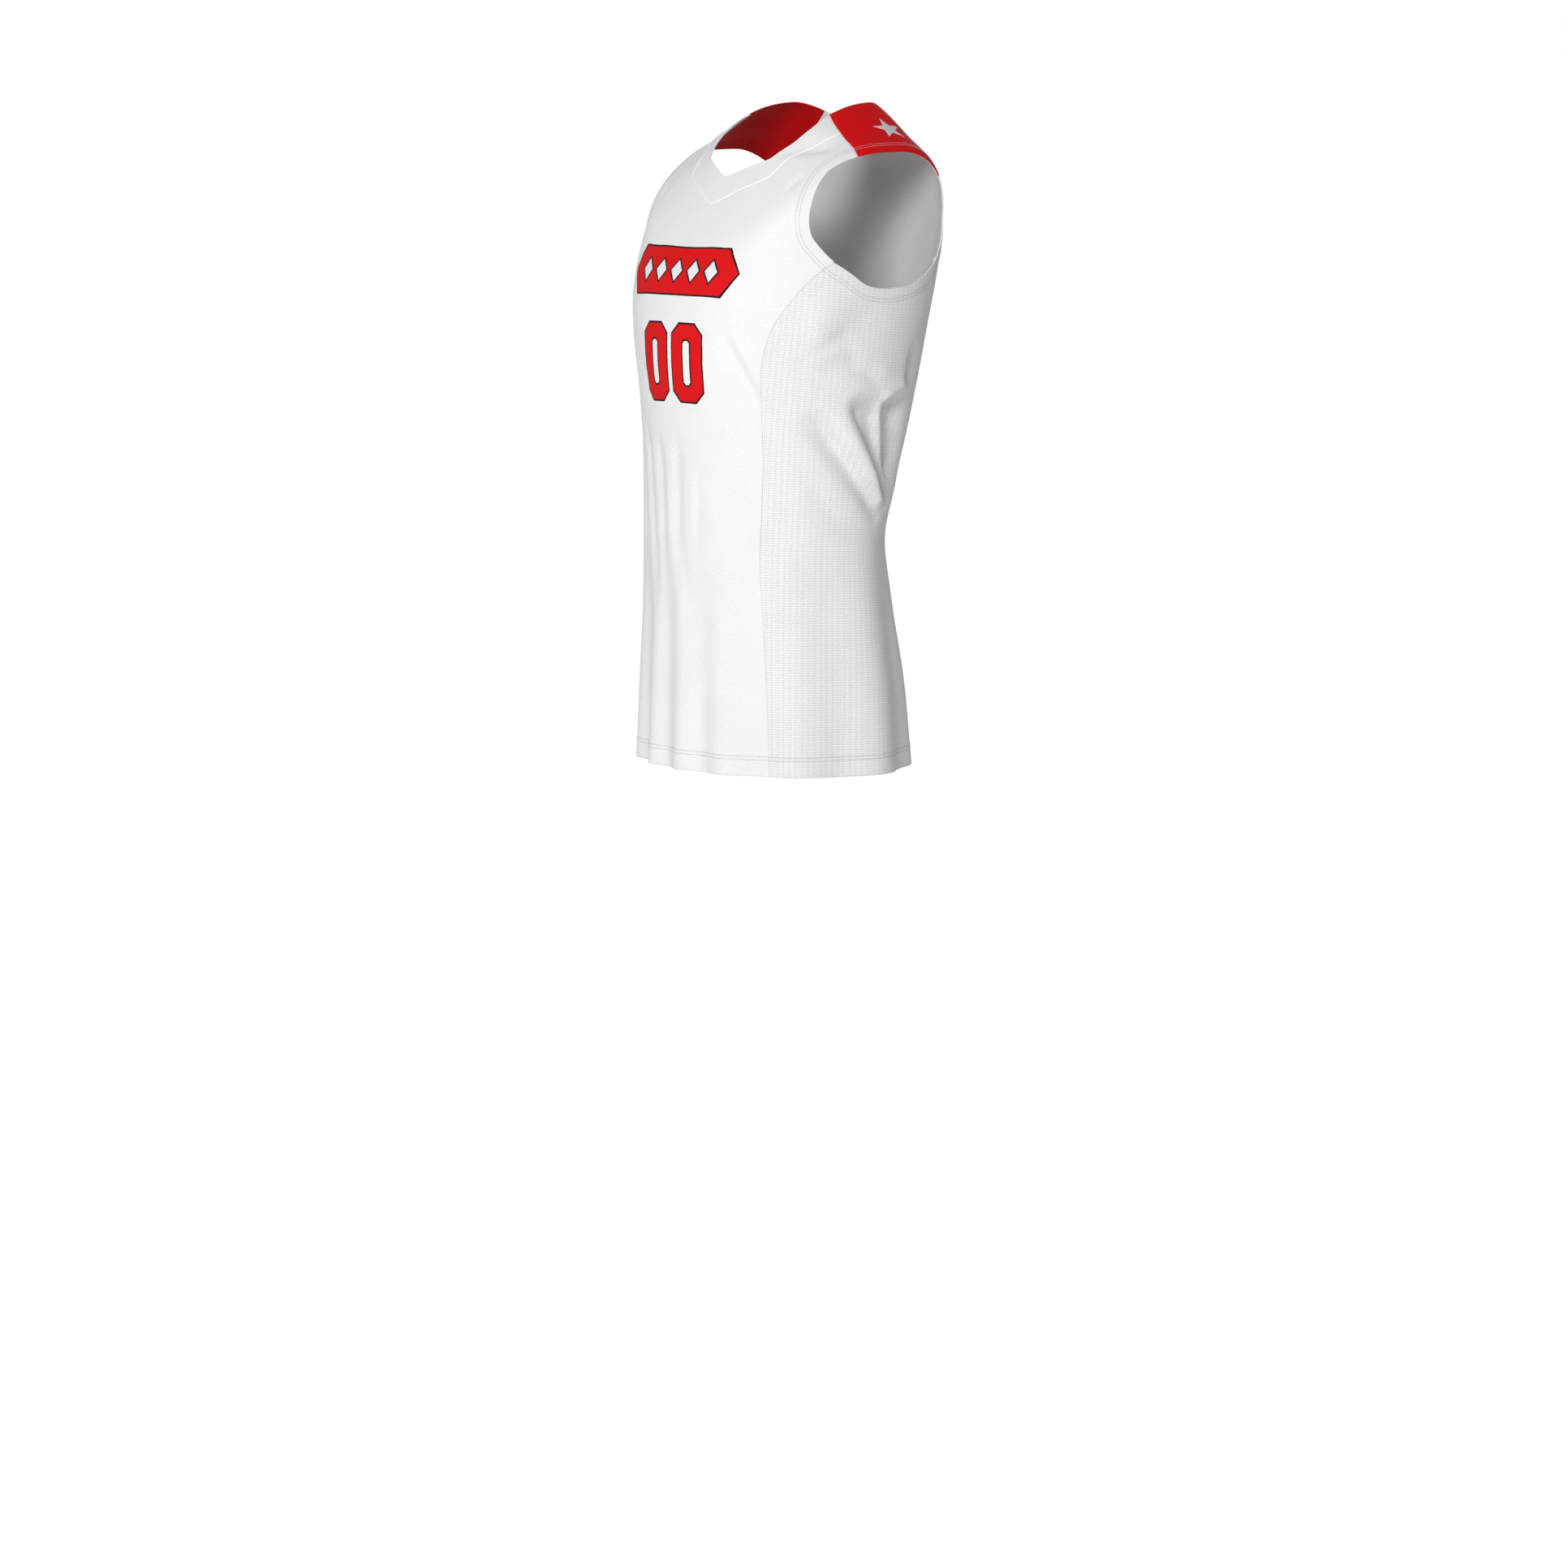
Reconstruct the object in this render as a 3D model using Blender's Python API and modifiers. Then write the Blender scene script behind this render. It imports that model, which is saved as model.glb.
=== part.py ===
"""Basketball jersey in its worn form: sleeveless, V-necked, nipped at the waist, open at neck and hem.

Every panel is a cloth wall on one common body form. The form is a stack of rings, and a place on it
is given by an angle round the body (0 centre front, 90 the wearer's left side, 180 centre back) and
a station, the way down the body from the neck. Seams are smooth curves through (angle, station).
World axes: +Z up, -Y the way the wearer faces, +X the wearer's left. The origin lies midway between
the two shoulder straps, on the level where they rest on the shoulders. Units are metres.
"""
import math
from collections import namedtuple

import bmesh
import bpy
import numpy as np

# Driving dimensions
WALL = 0.0016            # cloth wall
SEAM_GAP = 0.0003        # clear line between two panels that are sewn together
HEM_STATION = 0.79       # lower edge of the jersey
WAIST_STATION = 0.52     # where the cloth is gathered in
MEAN_RADIUS = 0.165      # turns an angle on the form into a length of cloth
NORMAL_STEP_DEG = 0.4    # span over which the form's slope is read
NORMAL_STEP = 0.002

# How many pieces each edge is divided into
BAND_FRONT_STEPS = 5
BAND_SIDE_STEPS = 4
BAND_WIDTH_STEPS = 3
YOKE_OUTER_STEPS = 3
YOKE_LENGTH_STEPS = 8
BACK_NECK_STEPS = 5
ARMHOLE_STEPS = 8
UNDERARM_STEPS = 22
BODICE_STEPS = 17
SKIRT_STEPS = 7
CURVE_SAMPLES = 400      # fine steps along an edge curve, from which its equal divisions are read
PANEL_DECAY = 4          # how fast the shape of a long panel's top edge dies away down the panel
SMALL_DECAY = 1          # the same for a short piece, shaped evenly from edge to edge

# Flutes of the loose cloth below the waist, and how far they have opened on the way to the hem
FLUTE_COUNT = 13
FLUTE_DEPTH = 0.0035
FLUTE_DRIFT = 1.3        # unevenness of their spacing, in radians
FLUTE_LEAD = 0.6         # where round the body that unevenness starts, in radians
Opening = namedtuple("Opening", "station share")
FLUTE_OPENING = [
    Opening(0.50, 0.0), Opening(0.54, 0.2), Opening(0.60, 0.6), Opening(0.70, 1.0),
    Opening(HEM_STATION, 1.4),
]

WHITE_KNIT = (0.87, 0.87, 0.88)
RED_KNIT = (0.70, 0.006, 0.012)
KNIT_ROUGHNESS = 0.85

# Body form: where each ring passes the side, the centre front and the centre back
Ring = namedtuple(
    "Ring",
    "station half_width side_y front_y back_y side_z front_z back_z front_square back_square fall",
)
RINGS = [
    Ring(0.00, 0.06, 0.017, -0.096, 0.045, 0.038, 0.009, 0.032, 2.2, 2.2, 2.2),
    Ring(0.02, 0.08, 0.013, -0.12, 0.056, 0.028, -0.026, 0.014, 2.3, 2.4, 2.2),
    Ring(0.06, 0.12, 0.003, -0.155, 0.074, 0.002, -0.077, -0.026, 2.5, 2.7, 2.3),
    Ring(0.11, 0.165, -0.008, -0.19, 0.092, -0.029, -0.131, -0.082, 2.5, 3.0, 2.3),
    Ring(0.16, 0.18, -0.02, -0.2095, 0.097, -0.081, -0.176, -0.136, 2.3, 2.7, 2.2),
    Ring(0.21, 0.184, -0.034, -0.2185, 0.097, -0.139, -0.217, -0.184, 2.25, 2.4, 2.1),
    Ring(0.26, 0.182, -0.046, -0.2195, 0.094, -0.198, -0.258, -0.23, 2.15, 2.2, 2.0),
    Ring(0.32, 0.177, -0.055, -0.216, 0.087, -0.264, -0.304, -0.283, 2.05, 2.1, 2.0),
    Ring(0.40, 0.171, -0.061, -0.2125, 0.071, -0.346, -0.367, -0.355, 2.0, 2.0, 2.0),
    Ring(0.47, 0.167, -0.068, -0.2115, 0.051, -0.414, -0.427, -0.417, 2.0, 2.0, 2.0),
    Ring(0.53, 0.163, -0.075, -0.2115, 0.038, -0.469, -0.484, -0.464, 2.0, 2.0, 2.0),
    Ring(0.60, 0.167, -0.073, -0.209, 0.044, -0.538, -0.549, -0.532, 2.0, 2.0, 2.0),
    Ring(0.70, 0.177, -0.067, -0.21, 0.06, -0.641, -0.646, -0.638, 2.0, 2.0, 2.0),
    Ring(0.79, 0.182, -0.064, -0.212, 0.068, -0.736, -0.736, -0.736, 2.0, 2.0, 2.0),
]

# Creases: a line on the form, its bow to one side, its reach on the two flanks and its height
# (a trough is negative), with the shares of its length over which it rises and dies away
Fold = namedtuple("Fold", "name deg0 station0 deg1 station1 bow fore aft rise fade_in fade_out")
FOLDS = [
    Fold("left pocket hollow", 102, 0.350, 119, 0.468, -0.004, 0.011, 0.025, -0.023, 0.20, 0.45),
    Fold("left pocket crest", 92, 0.348, 118, 0.490, -0.007, 0.022, 0.009, 0.008, 0.25, 0.20),
    Fold("left slanting trough", 79, 0.350, 109, 0.485, -0.007, 0.010, 0.016, -0.013, 0.25, 0.20),
    Fold("left slanting crest", 72, 0.360, 105, 0.495, -0.006, 0.022, 0.009, 0.008, 0.35, 0.15),
    Fold("left low trough", 56, 0.335, 99, 0.500, -0.015, 0.020, 0.016, -0.007, 0.40, 0.20),
    Fold("left underarm hollow", 92, 0.265, 50, 0.325, 0.0, 0.028, 0.028, -0.005, 0.40, 0.40),
    Fold("left back tuck", 147, 0.298, 144, 0.390, 0.0, 0.012, 0.022, -0.009, 0.35, 0.40),
    Fold("front drag line", 22, 0.205, 52, 0.390, 0.004, 0.012, 0.016, -0.0022, 0.30, 0.30),
    Fold("centre pleat", 1, 0.355, 1, 0.520, 0.0, 0.009, 0.012, -0.0030, 0.35, 0.20),
    Fold("second pleat", -13, 0.360, -11, 0.520, 0.0, 0.010, 0.010, -0.0030, 0.35, 0.20),
    Fold("third pleat", -27, 0.350, -21, 0.520, 0.0, 0.010, 0.010, -0.0030, 0.35, 0.20),
    Fold("right pocket hollow", -104, 0.340, -118, 0.460, 0.005, 0.023, 0.011, -0.019, 0.22, 0.45),
    Fold("right pocket crest", -95, 0.342, -114, 0.478, 0.006, 0.010, 0.022, 0.007, 0.25, 0.20),
    Fold("right slanting trough", -75, 0.372, -104, 0.492, 0.008, 0.017, 0.011, -0.011, 0.28, 0.20),
    Fold("right slanting crest", -66, 0.365, -99, 0.500, 0.006, 0.010, 0.021, 0.006, 0.35, 0.15),
    Fold("right low trough", -50, 0.350, -88, 0.505, 0.012, 0.018, 0.019, -0.006, 0.40, 0.20),
    Fold("right underarm hollow", -90, 0.268, -53, 0.335, 0.0, 0.026, 0.026, -0.004, 0.40, 0.40),
    Fold("left blade drag", 165, 0.190, 139, 0.400, 0.006, 0.016, 0.018, -0.005, 0.35, 0.35),
    Fold("right blade drag", -160, 0.215, -135, 0.410, -0.008, 0.018, 0.015, -0.004, 0.35, 0.35),
    Fold("back pleat", 171, 0.365, 167, 0.520, 0.0, 0.012, 0.010, -0.0050, 0.35, 0.20),
    Fold("back left pleat", 152, 0.395, 146, 0.520, 0.003, 0.011, 0.013, -0.0060, 0.35, 0.20),
    Fold("back right pleat", -166, 0.385, -163, 0.520, 0.0, 0.010, 0.013, -0.0055, 0.35, 0.20),
    Fold("back right tuck", -146, 0.400, -143, 0.520, 0.002, 0.013, 0.010, -0.0045, 0.35, 0.20),
]

# Edges and seams of the wearer's left half; the right half mirrors them
Mark = namedtuple("Mark", "deg station")
NECK_FRONT = [Mark(0, 0.0385), Mark(12, 0.0335), Mark(24.5, 0.0360)]
NECK_SIDE = [Mark(24.5, 0.0360), Mark(35, 0.0320), Mark(42.5, 0.0282), Mark(52.5, 0.0206)]
NECK_TOP = [
    Mark(52.5, 0.0206), Mark(64, 0.0166), Mark(81, 0.0125), Mark(99.5, 0.0105),
    Mark(114, 0.0125), Mark(127.5, 0.0165),
]
NECK_BACK = [Mark(127.5, 0.0165), Mark(150, 0.0215), Mark(180, 0.0235)]
BAND_FRONT = [Mark(0, 0.0645), Mark(14, 0.0545), Mark(28.7, 0.0563)]
BAND_SIDE = [Mark(28.7, 0.0563), Mark(35.5, 0.0485), Mark(47.6, 0.0512), Mark(61.2, 0.0523)]
YOKE_FRONT_INNER = [Mark(52.5, 0.0206), Mark(61.2, 0.0523)]
YOKE_FRONT_OUTER = [Mark(61.2, 0.0523), Mark(67.2, 0.0826), Mark(68.7, 0.0977)]
YOKE_BACK = [Mark(127.5, 0.0165), Mark(121, 0.052), Mark(117, 0.083), Mark(114, 0.112)]
ARMHOLE_TOP = [
    Mark(68.7, 0.0977), Mark(76.5, 0.0994), Mark(85, 0.1013), Mark(94, 0.1015),
    Mark(102, 0.1045), Mark(108, 0.108), Mark(114, 0.112),
]
ARMHOLE_FRONT = [
    Mark(68.7, 0.0977), Mark(60.5, 0.0972), Mark(56.4, 0.0992), Mark(53.5, 0.1085),
    Mark(51.9, 0.125), Mark(52.1, 0.148), Mark(53.8, 0.1637), Mark(58.5, 0.184),
    Mark(64.7, 0.2048),
]
ARMHOLE_UNDER = [
    Mark(64.7, 0.2048), Mark(71.9, 0.2210), Mark(79.3, 0.2361), Mark(85.8, 0.2415),
    Mark(92, 0.2415), Mark(100, 0.236), Mark(108, 0.223), Mark(114, 0.206),
]
ARMHOLE_BACK = [
    Mark(114, 0.112), Mark(117.5, 0.124), Mark(119.3, 0.145), Mark(119, 0.167),
    Mark(117, 0.188), Mark(114, 0.206),
]
SIDE_FRONT = [
    Mark(64.7, 0.2048), Mark(60.8, 0.2077), Mark(55.4, 0.2163), Mark(50.7, 0.2297),
    Mark(46.8, 0.2435), Mark(45, 0.258), Mark(43.9, 0.275), Mark(43.5, 0.305),
    Mark(44.4, 0.355), Mark(45.5, 0.396), Mark(46.8, 0.451), Mark(48.2, WAIST_STATION),
]
SIDE_BACK = [
    Mark(114, 0.206), Mark(119, 0.209), Mark(125, 0.219), Mark(131, 0.236), Mark(136, 0.262),
    Mark(138.5, 0.295), Mark(138, 0.33), Mark(134, 0.362), Mark(129, 0.39), Mark(126, 0.42),
    Mark(125, 0.46), Mark(125, WAIST_STATION),
]
SKIRT_FRONT = [Mark(48.2, WAIST_STATION), Mark(48.5, 0.60), Mark(49, HEM_STATION)]
SKIRT_BACK = [Mark(125, WAIST_STATION), Mark(126, 0.60), Mark(127, HEM_STATION)]
CENTRE_FRONT = [Mark(0, 0.0645), Mark(0, 0.235), Mark(0, WAIST_STATION), Mark(0, HEM_STATION)]
CENTRE_BACK = [Mark(180, 0.0235), Mark(180, 0.225), Mark(180, WAIST_STATION), Mark(180, HEM_STATION)]


def hermite(at, knots, values):
    """Smooth curve through values at the knots, one row of values for each knot."""
    gap = np.diff(knots)
    slope = np.diff(values, axis=0) / gap[:, None]
    share = (gap[1:] / (gap[:-1] + gap[1:]))[:, None]
    tangent = np.vstack([slope[:1], slope[:-1] * share + slope[1:] * (1 - share), slope[-1:]])
    k = np.clip(np.searchsorted(knots, at, side="right") - 1, 0, len(knots) - 2)
    step = gap[k][..., None]
    u = ((at - knots[k]) / gap[k])[..., None]
    start = (2 * u**3 - 3 * u**2 + 1) * values[k] + (u**3 - 2 * u**2 + u) * step * tangent[k]
    end = (3 * u**2 - 2 * u**3) * values[k + 1] + (u**3 - u**2) * step * tangent[k + 1]
    return start + end


RING_STATIONS = np.array([ring.station for ring in RINGS])
RING_VALUES = np.array([ring[1:] for ring in RINGS])


def form(deg, station):
    """Points of the smooth body form, before any crease."""
    values = np.moveaxis(hermite(station, RING_STATIONS, RING_VALUES), -1, 0)
    half_width, side_y, front_y, back_y, side_z, front_z, back_z, front_sq, back_sq, fall = values
    angle = np.radians(deg)
    across, along = np.abs(np.sin(angle)), np.cos(angle)
    in_front = along > 0
    depth = np.where(in_front, side_y - front_y, back_y - side_y)
    square = np.where(in_front, front_sq, back_sq)
    radius = ((across / half_width) ** square + (np.abs(along) / depth) ** square) ** (-1 / square)
    lean = (radius * np.abs(along) / depth) ** fall
    centre_z = np.where(in_front, front_z, back_z)
    return np.stack(
        [radius * np.sin(angle), side_y - radius * along, side_z + (centre_z - side_z) * lean], -1
    )


def ease(x):
    """Rises smoothly from 0 at 0 to 1 at 1."""
    x = np.clip(x, 0, 1)
    return x * x * (3 - 2 * x)


def turn(deg):
    """An angle brought to within half a turn of zero."""
    return (deg + 180) % 360 - 180


def crease(fold, deg, station):
    """Height of one crease at each place."""
    run_x = math.radians(fold.deg1 - fold.deg0) * MEAN_RADIUS
    run_y = fold.station1 - fold.station0
    length = math.hypot(run_x, run_y)
    x = np.radians(turn(deg - fold.deg0)) * MEAN_RADIUS
    y = station - fold.station0
    along = (x * run_x + y * run_y) / length**2
    inside = np.clip(along, 0, 1)
    off = (x * run_y - y * run_x) / length - fold.bow * 4 * inside * (1 - inside)
    reach = np.where(off < 0, fold.fore, fold.aft)
    swell = ease(along / fold.fade_in) * ease((1 - along) / fold.fade_out)
    return fold.rise * swell * np.exp(-((off / reach) ** 2))


def flutes(deg, station):
    """Soft upright waves that open out from the waist to the hem."""
    angle = np.radians(turn(deg))
    wave = np.sin(FLUTE_COUNT * angle + FLUTE_DRIFT * np.sin(2 * angle + FLUTE_LEAD))
    stations, shares = zip(*FLUTE_OPENING)
    return FLUTE_DEPTH * wave * np.interp(station, stations, shares)


def cloth(deg, station):
    """Points at the middle of the cloth wall, creases and flutes included."""
    deg, station = np.broadcast_arrays(np.asarray(deg, float), np.asarray(station, float))
    down = form(deg, np.minimum(station + NORMAL_STEP, HEM_STATION)) - form(
        deg, np.maximum(station - NORMAL_STEP, 0)
    )
    round_body = form(deg + NORMAL_STEP_DEG, station) - form(deg - NORMAL_STEP_DEG, station)
    out = np.cross(down, round_body)
    out /= np.linalg.norm(out, axis=-1, keepdims=True)
    height = sum(crease(fold, deg, station) for fold in FOLDS) + flutes(deg, station)
    return form(deg, station) + out * height[..., None]


def divide(marks, steps):
    """Steps equal lengths along the smooth curve through the marks, as (deg, station) rows."""
    scale = np.array([math.radians(1) * MEAN_RADIUS, 1.0])
    points = np.array(marks, float) * scale
    knots = np.concatenate([[0], np.cumsum(np.linalg.norm(np.diff(points, axis=0), axis=1))])
    if len(points) == 2:
        return (points[0] + np.linspace(0, 1, steps + 1)[:, None] * (points[1] - points[0])) / scale
    fine = hermite(np.linspace(0, knots[-1], CURVE_SAMPLES), knots, points)
    travel = np.concatenate([[0], np.cumsum(np.linalg.norm(np.diff(fine, axis=0), axis=1))])
    wanted = np.linspace(0, travel[-1], steps + 1)
    return np.stack([np.interp(wanted, travel, fine[:, i]) for i in range(2)], -1) / scale


def chain(*runs):
    """Divided curves joined end to end, without the doubled points."""
    return np.vstack([runs[0]] + [run[1:] for run in runs[1:]])


def centre_line(marks):
    """Centre front or centre back, divided level with the armhole, the waist and the hem."""
    armhole, bodice, skirt = (divide(marks[i:i + 2], n) for i, n in enumerate(
        (ARMHOLE_STEPS, BODICE_STEPS, SKIRT_STEPS)))
    return chain(armhole, bodice, skirt)


def patch(top, bottom, first, last, decay):
    """Fills the space between four edges: top and bottom run across, first and last run down.

    Rows are drawn straight from first to last, and the shapes of the top and bottom edges are
    added to them, dying away towards the middle.
    """
    u = np.linspace(0, 1, len(top))[None, :, None]
    v = np.linspace(0, 1, len(first))[:, None, None]
    top_shape = top[None] - ((1 - u) * top[0] + u * top[-1])
    bottom_shape = bottom[None] - ((1 - u) * bottom[0] + u * bottom[-1])
    rows = (1 - u) * first[:, None] + u * last[:, None]
    return rows + (1 - v) ** decay * top_shape + v**decay * bottom_shape


def straight(start, end, steps):
    """Equal steps from one (deg, station) place to another."""
    return start + np.linspace(0, 1, steps + 1)[:, None] * (end - start)


def mirrored(grid, axis_deg):
    """The half grid with its mirror image across the centre line, as one grid."""
    other = grid[:, :0:-1].copy()
    other[..., 0] = 2 * axis_deg - other[..., 0]
    return np.concatenate([other, grid], axis=1)


def inset(points):
    """Draws the outer rows of a grid of points in by half the seam gap."""
    moved = points.copy()
    for turned in (False, True):
        source = points.swapaxes(0, 1) if turned else points
        target = moved.swapaxes(0, 1) if turned else moved
        for edge, inner in ((0, 1), (-1, -2)):
            along = np.gradient(source[edge], axis=0)
            along /= np.linalg.norm(along, axis=-1, keepdims=True)
            inward = source[inner] - source[edge]
            inward -= along * (inward * along).sum(-1, keepdims=True)
            inward /= np.linalg.norm(inward, axis=-1, keepdims=True)
            target[edge] += inward * SEAM_GAP / 2
    return moved


def knit_material(name, colour):
    """Plain knitted polyester in one colour."""
    material = bpy.data.materials.new(name)
    material.use_nodes = True
    shader = material.node_tree.nodes["Principled BSDF"]
    shader.inputs["Base Color"].default_value = (*colour, 1.0)
    shader.inputs["Roughness"].default_value = KNIT_ROUGHNESS
    shader.inputs["Metallic"].default_value = 0.0
    return material


def make_panel(name, grid, material, collection):
    """One cut piece: an open sheet on the form, given its thickness by Solidify."""
    points = inset(cloth(grid[..., 0], grid[..., 1]))
    rows, columns = points.shape[:2]
    sheet = bmesh.new()
    corners = [[sheet.verts.new(points[r, c]) for c in range(columns)] for r in range(rows)]
    for r in range(rows - 1):
        for c in range(columns - 1):
            quad = [corners[r][c], corners[r + 1][c], corners[r + 1][c + 1], corners[r][c + 1]]
            if points[r, c, 0] < 0:
                quad = quad[1:] + quad[:1]    # its diagonal then mirrors the other side's
            sheet.faces.new(quad)
    mesh = bpy.data.meshes.new(name)
    sheet.to_mesh(mesh)
    sheet.free()
    mesh.shade_smooth()
    mesh.materials.append(material)
    panel = bpy.data.objects.new(name, mesh)
    collection.objects.link(panel)
    wall = panel.modifiers.new("wall", "SOLIDIFY")
    wall.thickness = WALL
    wall.offset = 0.0
    wall.use_even_offset = False
    return panel


def flipped(grid):
    """The same piece on the wearer's right, its columns turned round so that it faces out."""
    other = grid[:, ::-1].copy()
    other[..., 0] *= -1
    return other


def front_grid():
    """Front panel: neckband seam and yoke seams on top, armholes and side seams at the sides."""
    top = chain(
        divide(BAND_FRONT, BAND_FRONT_STEPS),
        divide(BAND_SIDE, BAND_SIDE_STEPS),
        divide(YOKE_FRONT_OUTER, YOKE_OUTER_STEPS),
    )
    side = chain(
        divide(ARMHOLE_FRONT, ARMHOLE_STEPS),
        divide(SIDE_FRONT, BODICE_STEPS),
        divide(SKIRT_FRONT, SKIRT_STEPS),
    )
    middle = centre_line(CENTRE_FRONT)
    hem = straight(middle[-1], side[-1], len(top) - 1)
    return mirrored(patch(top, hem, middle, side, PANEL_DECAY), 0)


def back_grid():
    """Back panel, from the back of the neck to the hem."""
    top = chain(
        divide(NECK_BACK[::-1], BACK_NECK_STEPS),
        divide(YOKE_BACK, BAND_WIDTH_STEPS + YOKE_OUTER_STEPS),
    )
    side = chain(
        divide(ARMHOLE_BACK, ARMHOLE_STEPS),
        divide(SIDE_BACK, BODICE_STEPS),
        divide(SKIRT_BACK, SKIRT_STEPS),
    )
    middle = centre_line(CENTRE_BACK)
    hem = straight(middle[-1], side[-1], len(top) - 1)
    return mirrored(patch(top, hem, middle, side, PANEL_DECAY), 180)[:, ::-1]


def side_grid():
    """Side panel under the wearer's left arm."""
    first = chain(divide(SIDE_FRONT, BODICE_STEPS), divide(SKIRT_FRONT, SKIRT_STEPS))
    last = chain(divide(SIDE_BACK, BODICE_STEPS), divide(SKIRT_BACK, SKIRT_STEPS))
    top = divide(ARMHOLE_UNDER, UNDERARM_STEPS)
    return patch(top, straight(first[-1], last[-1], UNDERARM_STEPS), first, last, PANEL_DECAY)


def yoke_grid():
    """Shoulder yoke on the wearer's left, from the front seam over the strap to the back seam."""
    first = chain(
        divide(YOKE_FRONT_INNER, BAND_WIDTH_STEPS), divide(YOKE_FRONT_OUTER, YOKE_OUTER_STEPS)
    )
    last = divide(YOKE_BACK, BAND_WIDTH_STEPS + YOKE_OUTER_STEPS)
    neck = divide(NECK_TOP, YOKE_LENGTH_STEPS)
    arm = divide(ARMHOLE_TOP, YOKE_LENGTH_STEPS)
    return patch(neck, arm, first, last, SMALL_DECAY)


def neckband_grid():
    """V neckband across the front, from yoke to yoke, with a point at the centre."""
    neck = chain(divide(NECK_FRONT, BAND_FRONT_STEPS), divide(NECK_SIDE, BAND_SIDE_STEPS))
    seam = chain(divide(BAND_FRONT, BAND_FRONT_STEPS), divide(BAND_SIDE, BAND_SIDE_STEPS))
    first = straight(neck[0], seam[0], BAND_WIDTH_STEPS)
    last = divide(YOKE_FRONT_INNER, BAND_WIDTH_STEPS)
    return mirrored(patch(neck, seam, first, last, SMALL_DECAY), 0)


def main():
    for old in list(bpy.data.objects):
        bpy.data.objects.remove(old, do_unlink=True)
    jersey = bpy.data.collections.new("basketball_jersey")
    bpy.context.scene.collection.children.link(jersey)
    white = knit_material("white_knit", WHITE_KNIT)
    red = knit_material("red_knit", RED_KNIT)
    side, yoke = side_grid(), yoke_grid()
    make_panel("front_panel", front_grid(), white, jersey)
    make_panel("back_panel", back_grid(), white, jersey)
    make_panel("side_panel_left", side, white, jersey)
    make_panel("side_panel_right", flipped(side), white, jersey)
    make_panel("yoke_left", yoke, red, jersey)
    make_panel("yoke_right", flipped(yoke), red, jersey)
    make_panel("neckband", neckband_grid(), white, jersey)


main()
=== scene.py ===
"""Looks of a sleeveless basketball jersey: knitted panels, sewn seams, twin-needle hems and prints.

Every panel is a thin shell of knitted cloth on one body form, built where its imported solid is. The
form is a stack of rings: a place on it is an angle round the body (0 centre front, 90 the wearer's
left side, 180 centre back) and a station, the way down the body from the neck. Units are metres;
+Z is up, -Y the way the wearer faces and +X the wearer's left.
"""
import logging
import math
from dataclasses import dataclass, field
from enum import Enum
from typing import NamedTuple

import bmesh
import bpy
import numpy as np
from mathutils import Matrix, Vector
from mathutils.kdtree import KDTree


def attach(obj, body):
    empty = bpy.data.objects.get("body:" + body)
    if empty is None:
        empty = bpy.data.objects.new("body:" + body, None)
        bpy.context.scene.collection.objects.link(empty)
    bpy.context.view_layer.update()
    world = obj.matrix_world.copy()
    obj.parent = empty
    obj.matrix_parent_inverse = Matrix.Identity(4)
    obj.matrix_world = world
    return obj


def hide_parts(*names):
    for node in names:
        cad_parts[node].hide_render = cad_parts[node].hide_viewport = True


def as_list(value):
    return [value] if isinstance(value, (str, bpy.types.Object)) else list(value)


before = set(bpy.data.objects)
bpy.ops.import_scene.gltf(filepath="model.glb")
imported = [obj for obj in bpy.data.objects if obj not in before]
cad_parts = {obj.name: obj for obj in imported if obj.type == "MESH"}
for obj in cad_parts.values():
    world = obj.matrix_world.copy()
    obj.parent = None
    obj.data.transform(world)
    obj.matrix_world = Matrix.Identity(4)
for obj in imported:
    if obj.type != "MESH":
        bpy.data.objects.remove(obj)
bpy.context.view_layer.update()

MM = 0.001
BODY = "root"
HEM_STATION = 0.79          # lower edge of the jersey
WAIST_STATION = 0.52        # where the cloth is gathered in
MEAN_RADIUS = 0.165         # turns an angle on the form into a length of cloth
CLOTH_SCALE = np.array([math.radians(1) * MEAN_RADIUS, 1.0])   # turns a place into metres of cloth
CURVE_SAMPLES = 1200        # samples of a cut line's curve, from which its equal divisions are read
GRAIN_MAP = "grain"         # name of the UV map that holds the flat cut, in metres
NOISE_SPAN = {1: 0.3, 2: 0.7}   # a range node's inputs for the values that a noise mostly has
Array = np.ndarray
Source = bpy.types.Node | bpy.types.NodeSocket      # what can feed a node's input
log = logging.getLogger("jersey")


class Side(Enum):
    """One flank of the wearer; the value is the sign of X there."""

    LEFT = 1
    RIGHT = -1

    @property
    def word(self) -> str:
        """Name of the flank, as piece names have it."""
        return self.name.lower()


class Slot(Enum):
    """The record's material slots."""

    WHITE_KNIT = "white_knit"
    WHITE_MESH = "white_mesh"
    RED_KNIT = "red_knit"


class Mark(NamedTuple):
    """A place on the body form: degrees round the body and metres down it."""

    deg: float
    station: float


class Ring(NamedTuple):
    """Where one ring of the body passes the side, the centre front and the centre back."""

    station: float
    half_width: float
    side_y: float
    front_y: float
    back_y: float
    side_z: float
    front_z: float
    back_z: float
    front_square: float
    back_square: float
    fall: float


class Crease(NamedTuple):
    """A line on the form, its bow to one side, its reach on both flanks and its height.

    A trough has a negative height. The fades are the shares of the length over which it rises
    and dies away.
    """

    deg0: float
    station0: float
    deg1: float
    station1: float
    bow: float
    fore: float
    aft: float
    rise: float
    fade_in: float
    fade_out: float


class Wave(NamedTuple):
    """A slow wave laid over the gathers of a hem, so that no two of them are alike."""

    reach: float
    pace: float                 # its turns for each gather
    start: float                # in radians

    def at(self, phase: Array) -> Array:
        """The wave where the gathers have this phase."""
        return self.reach * np.sin(phase * self.pace + self.start)


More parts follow.
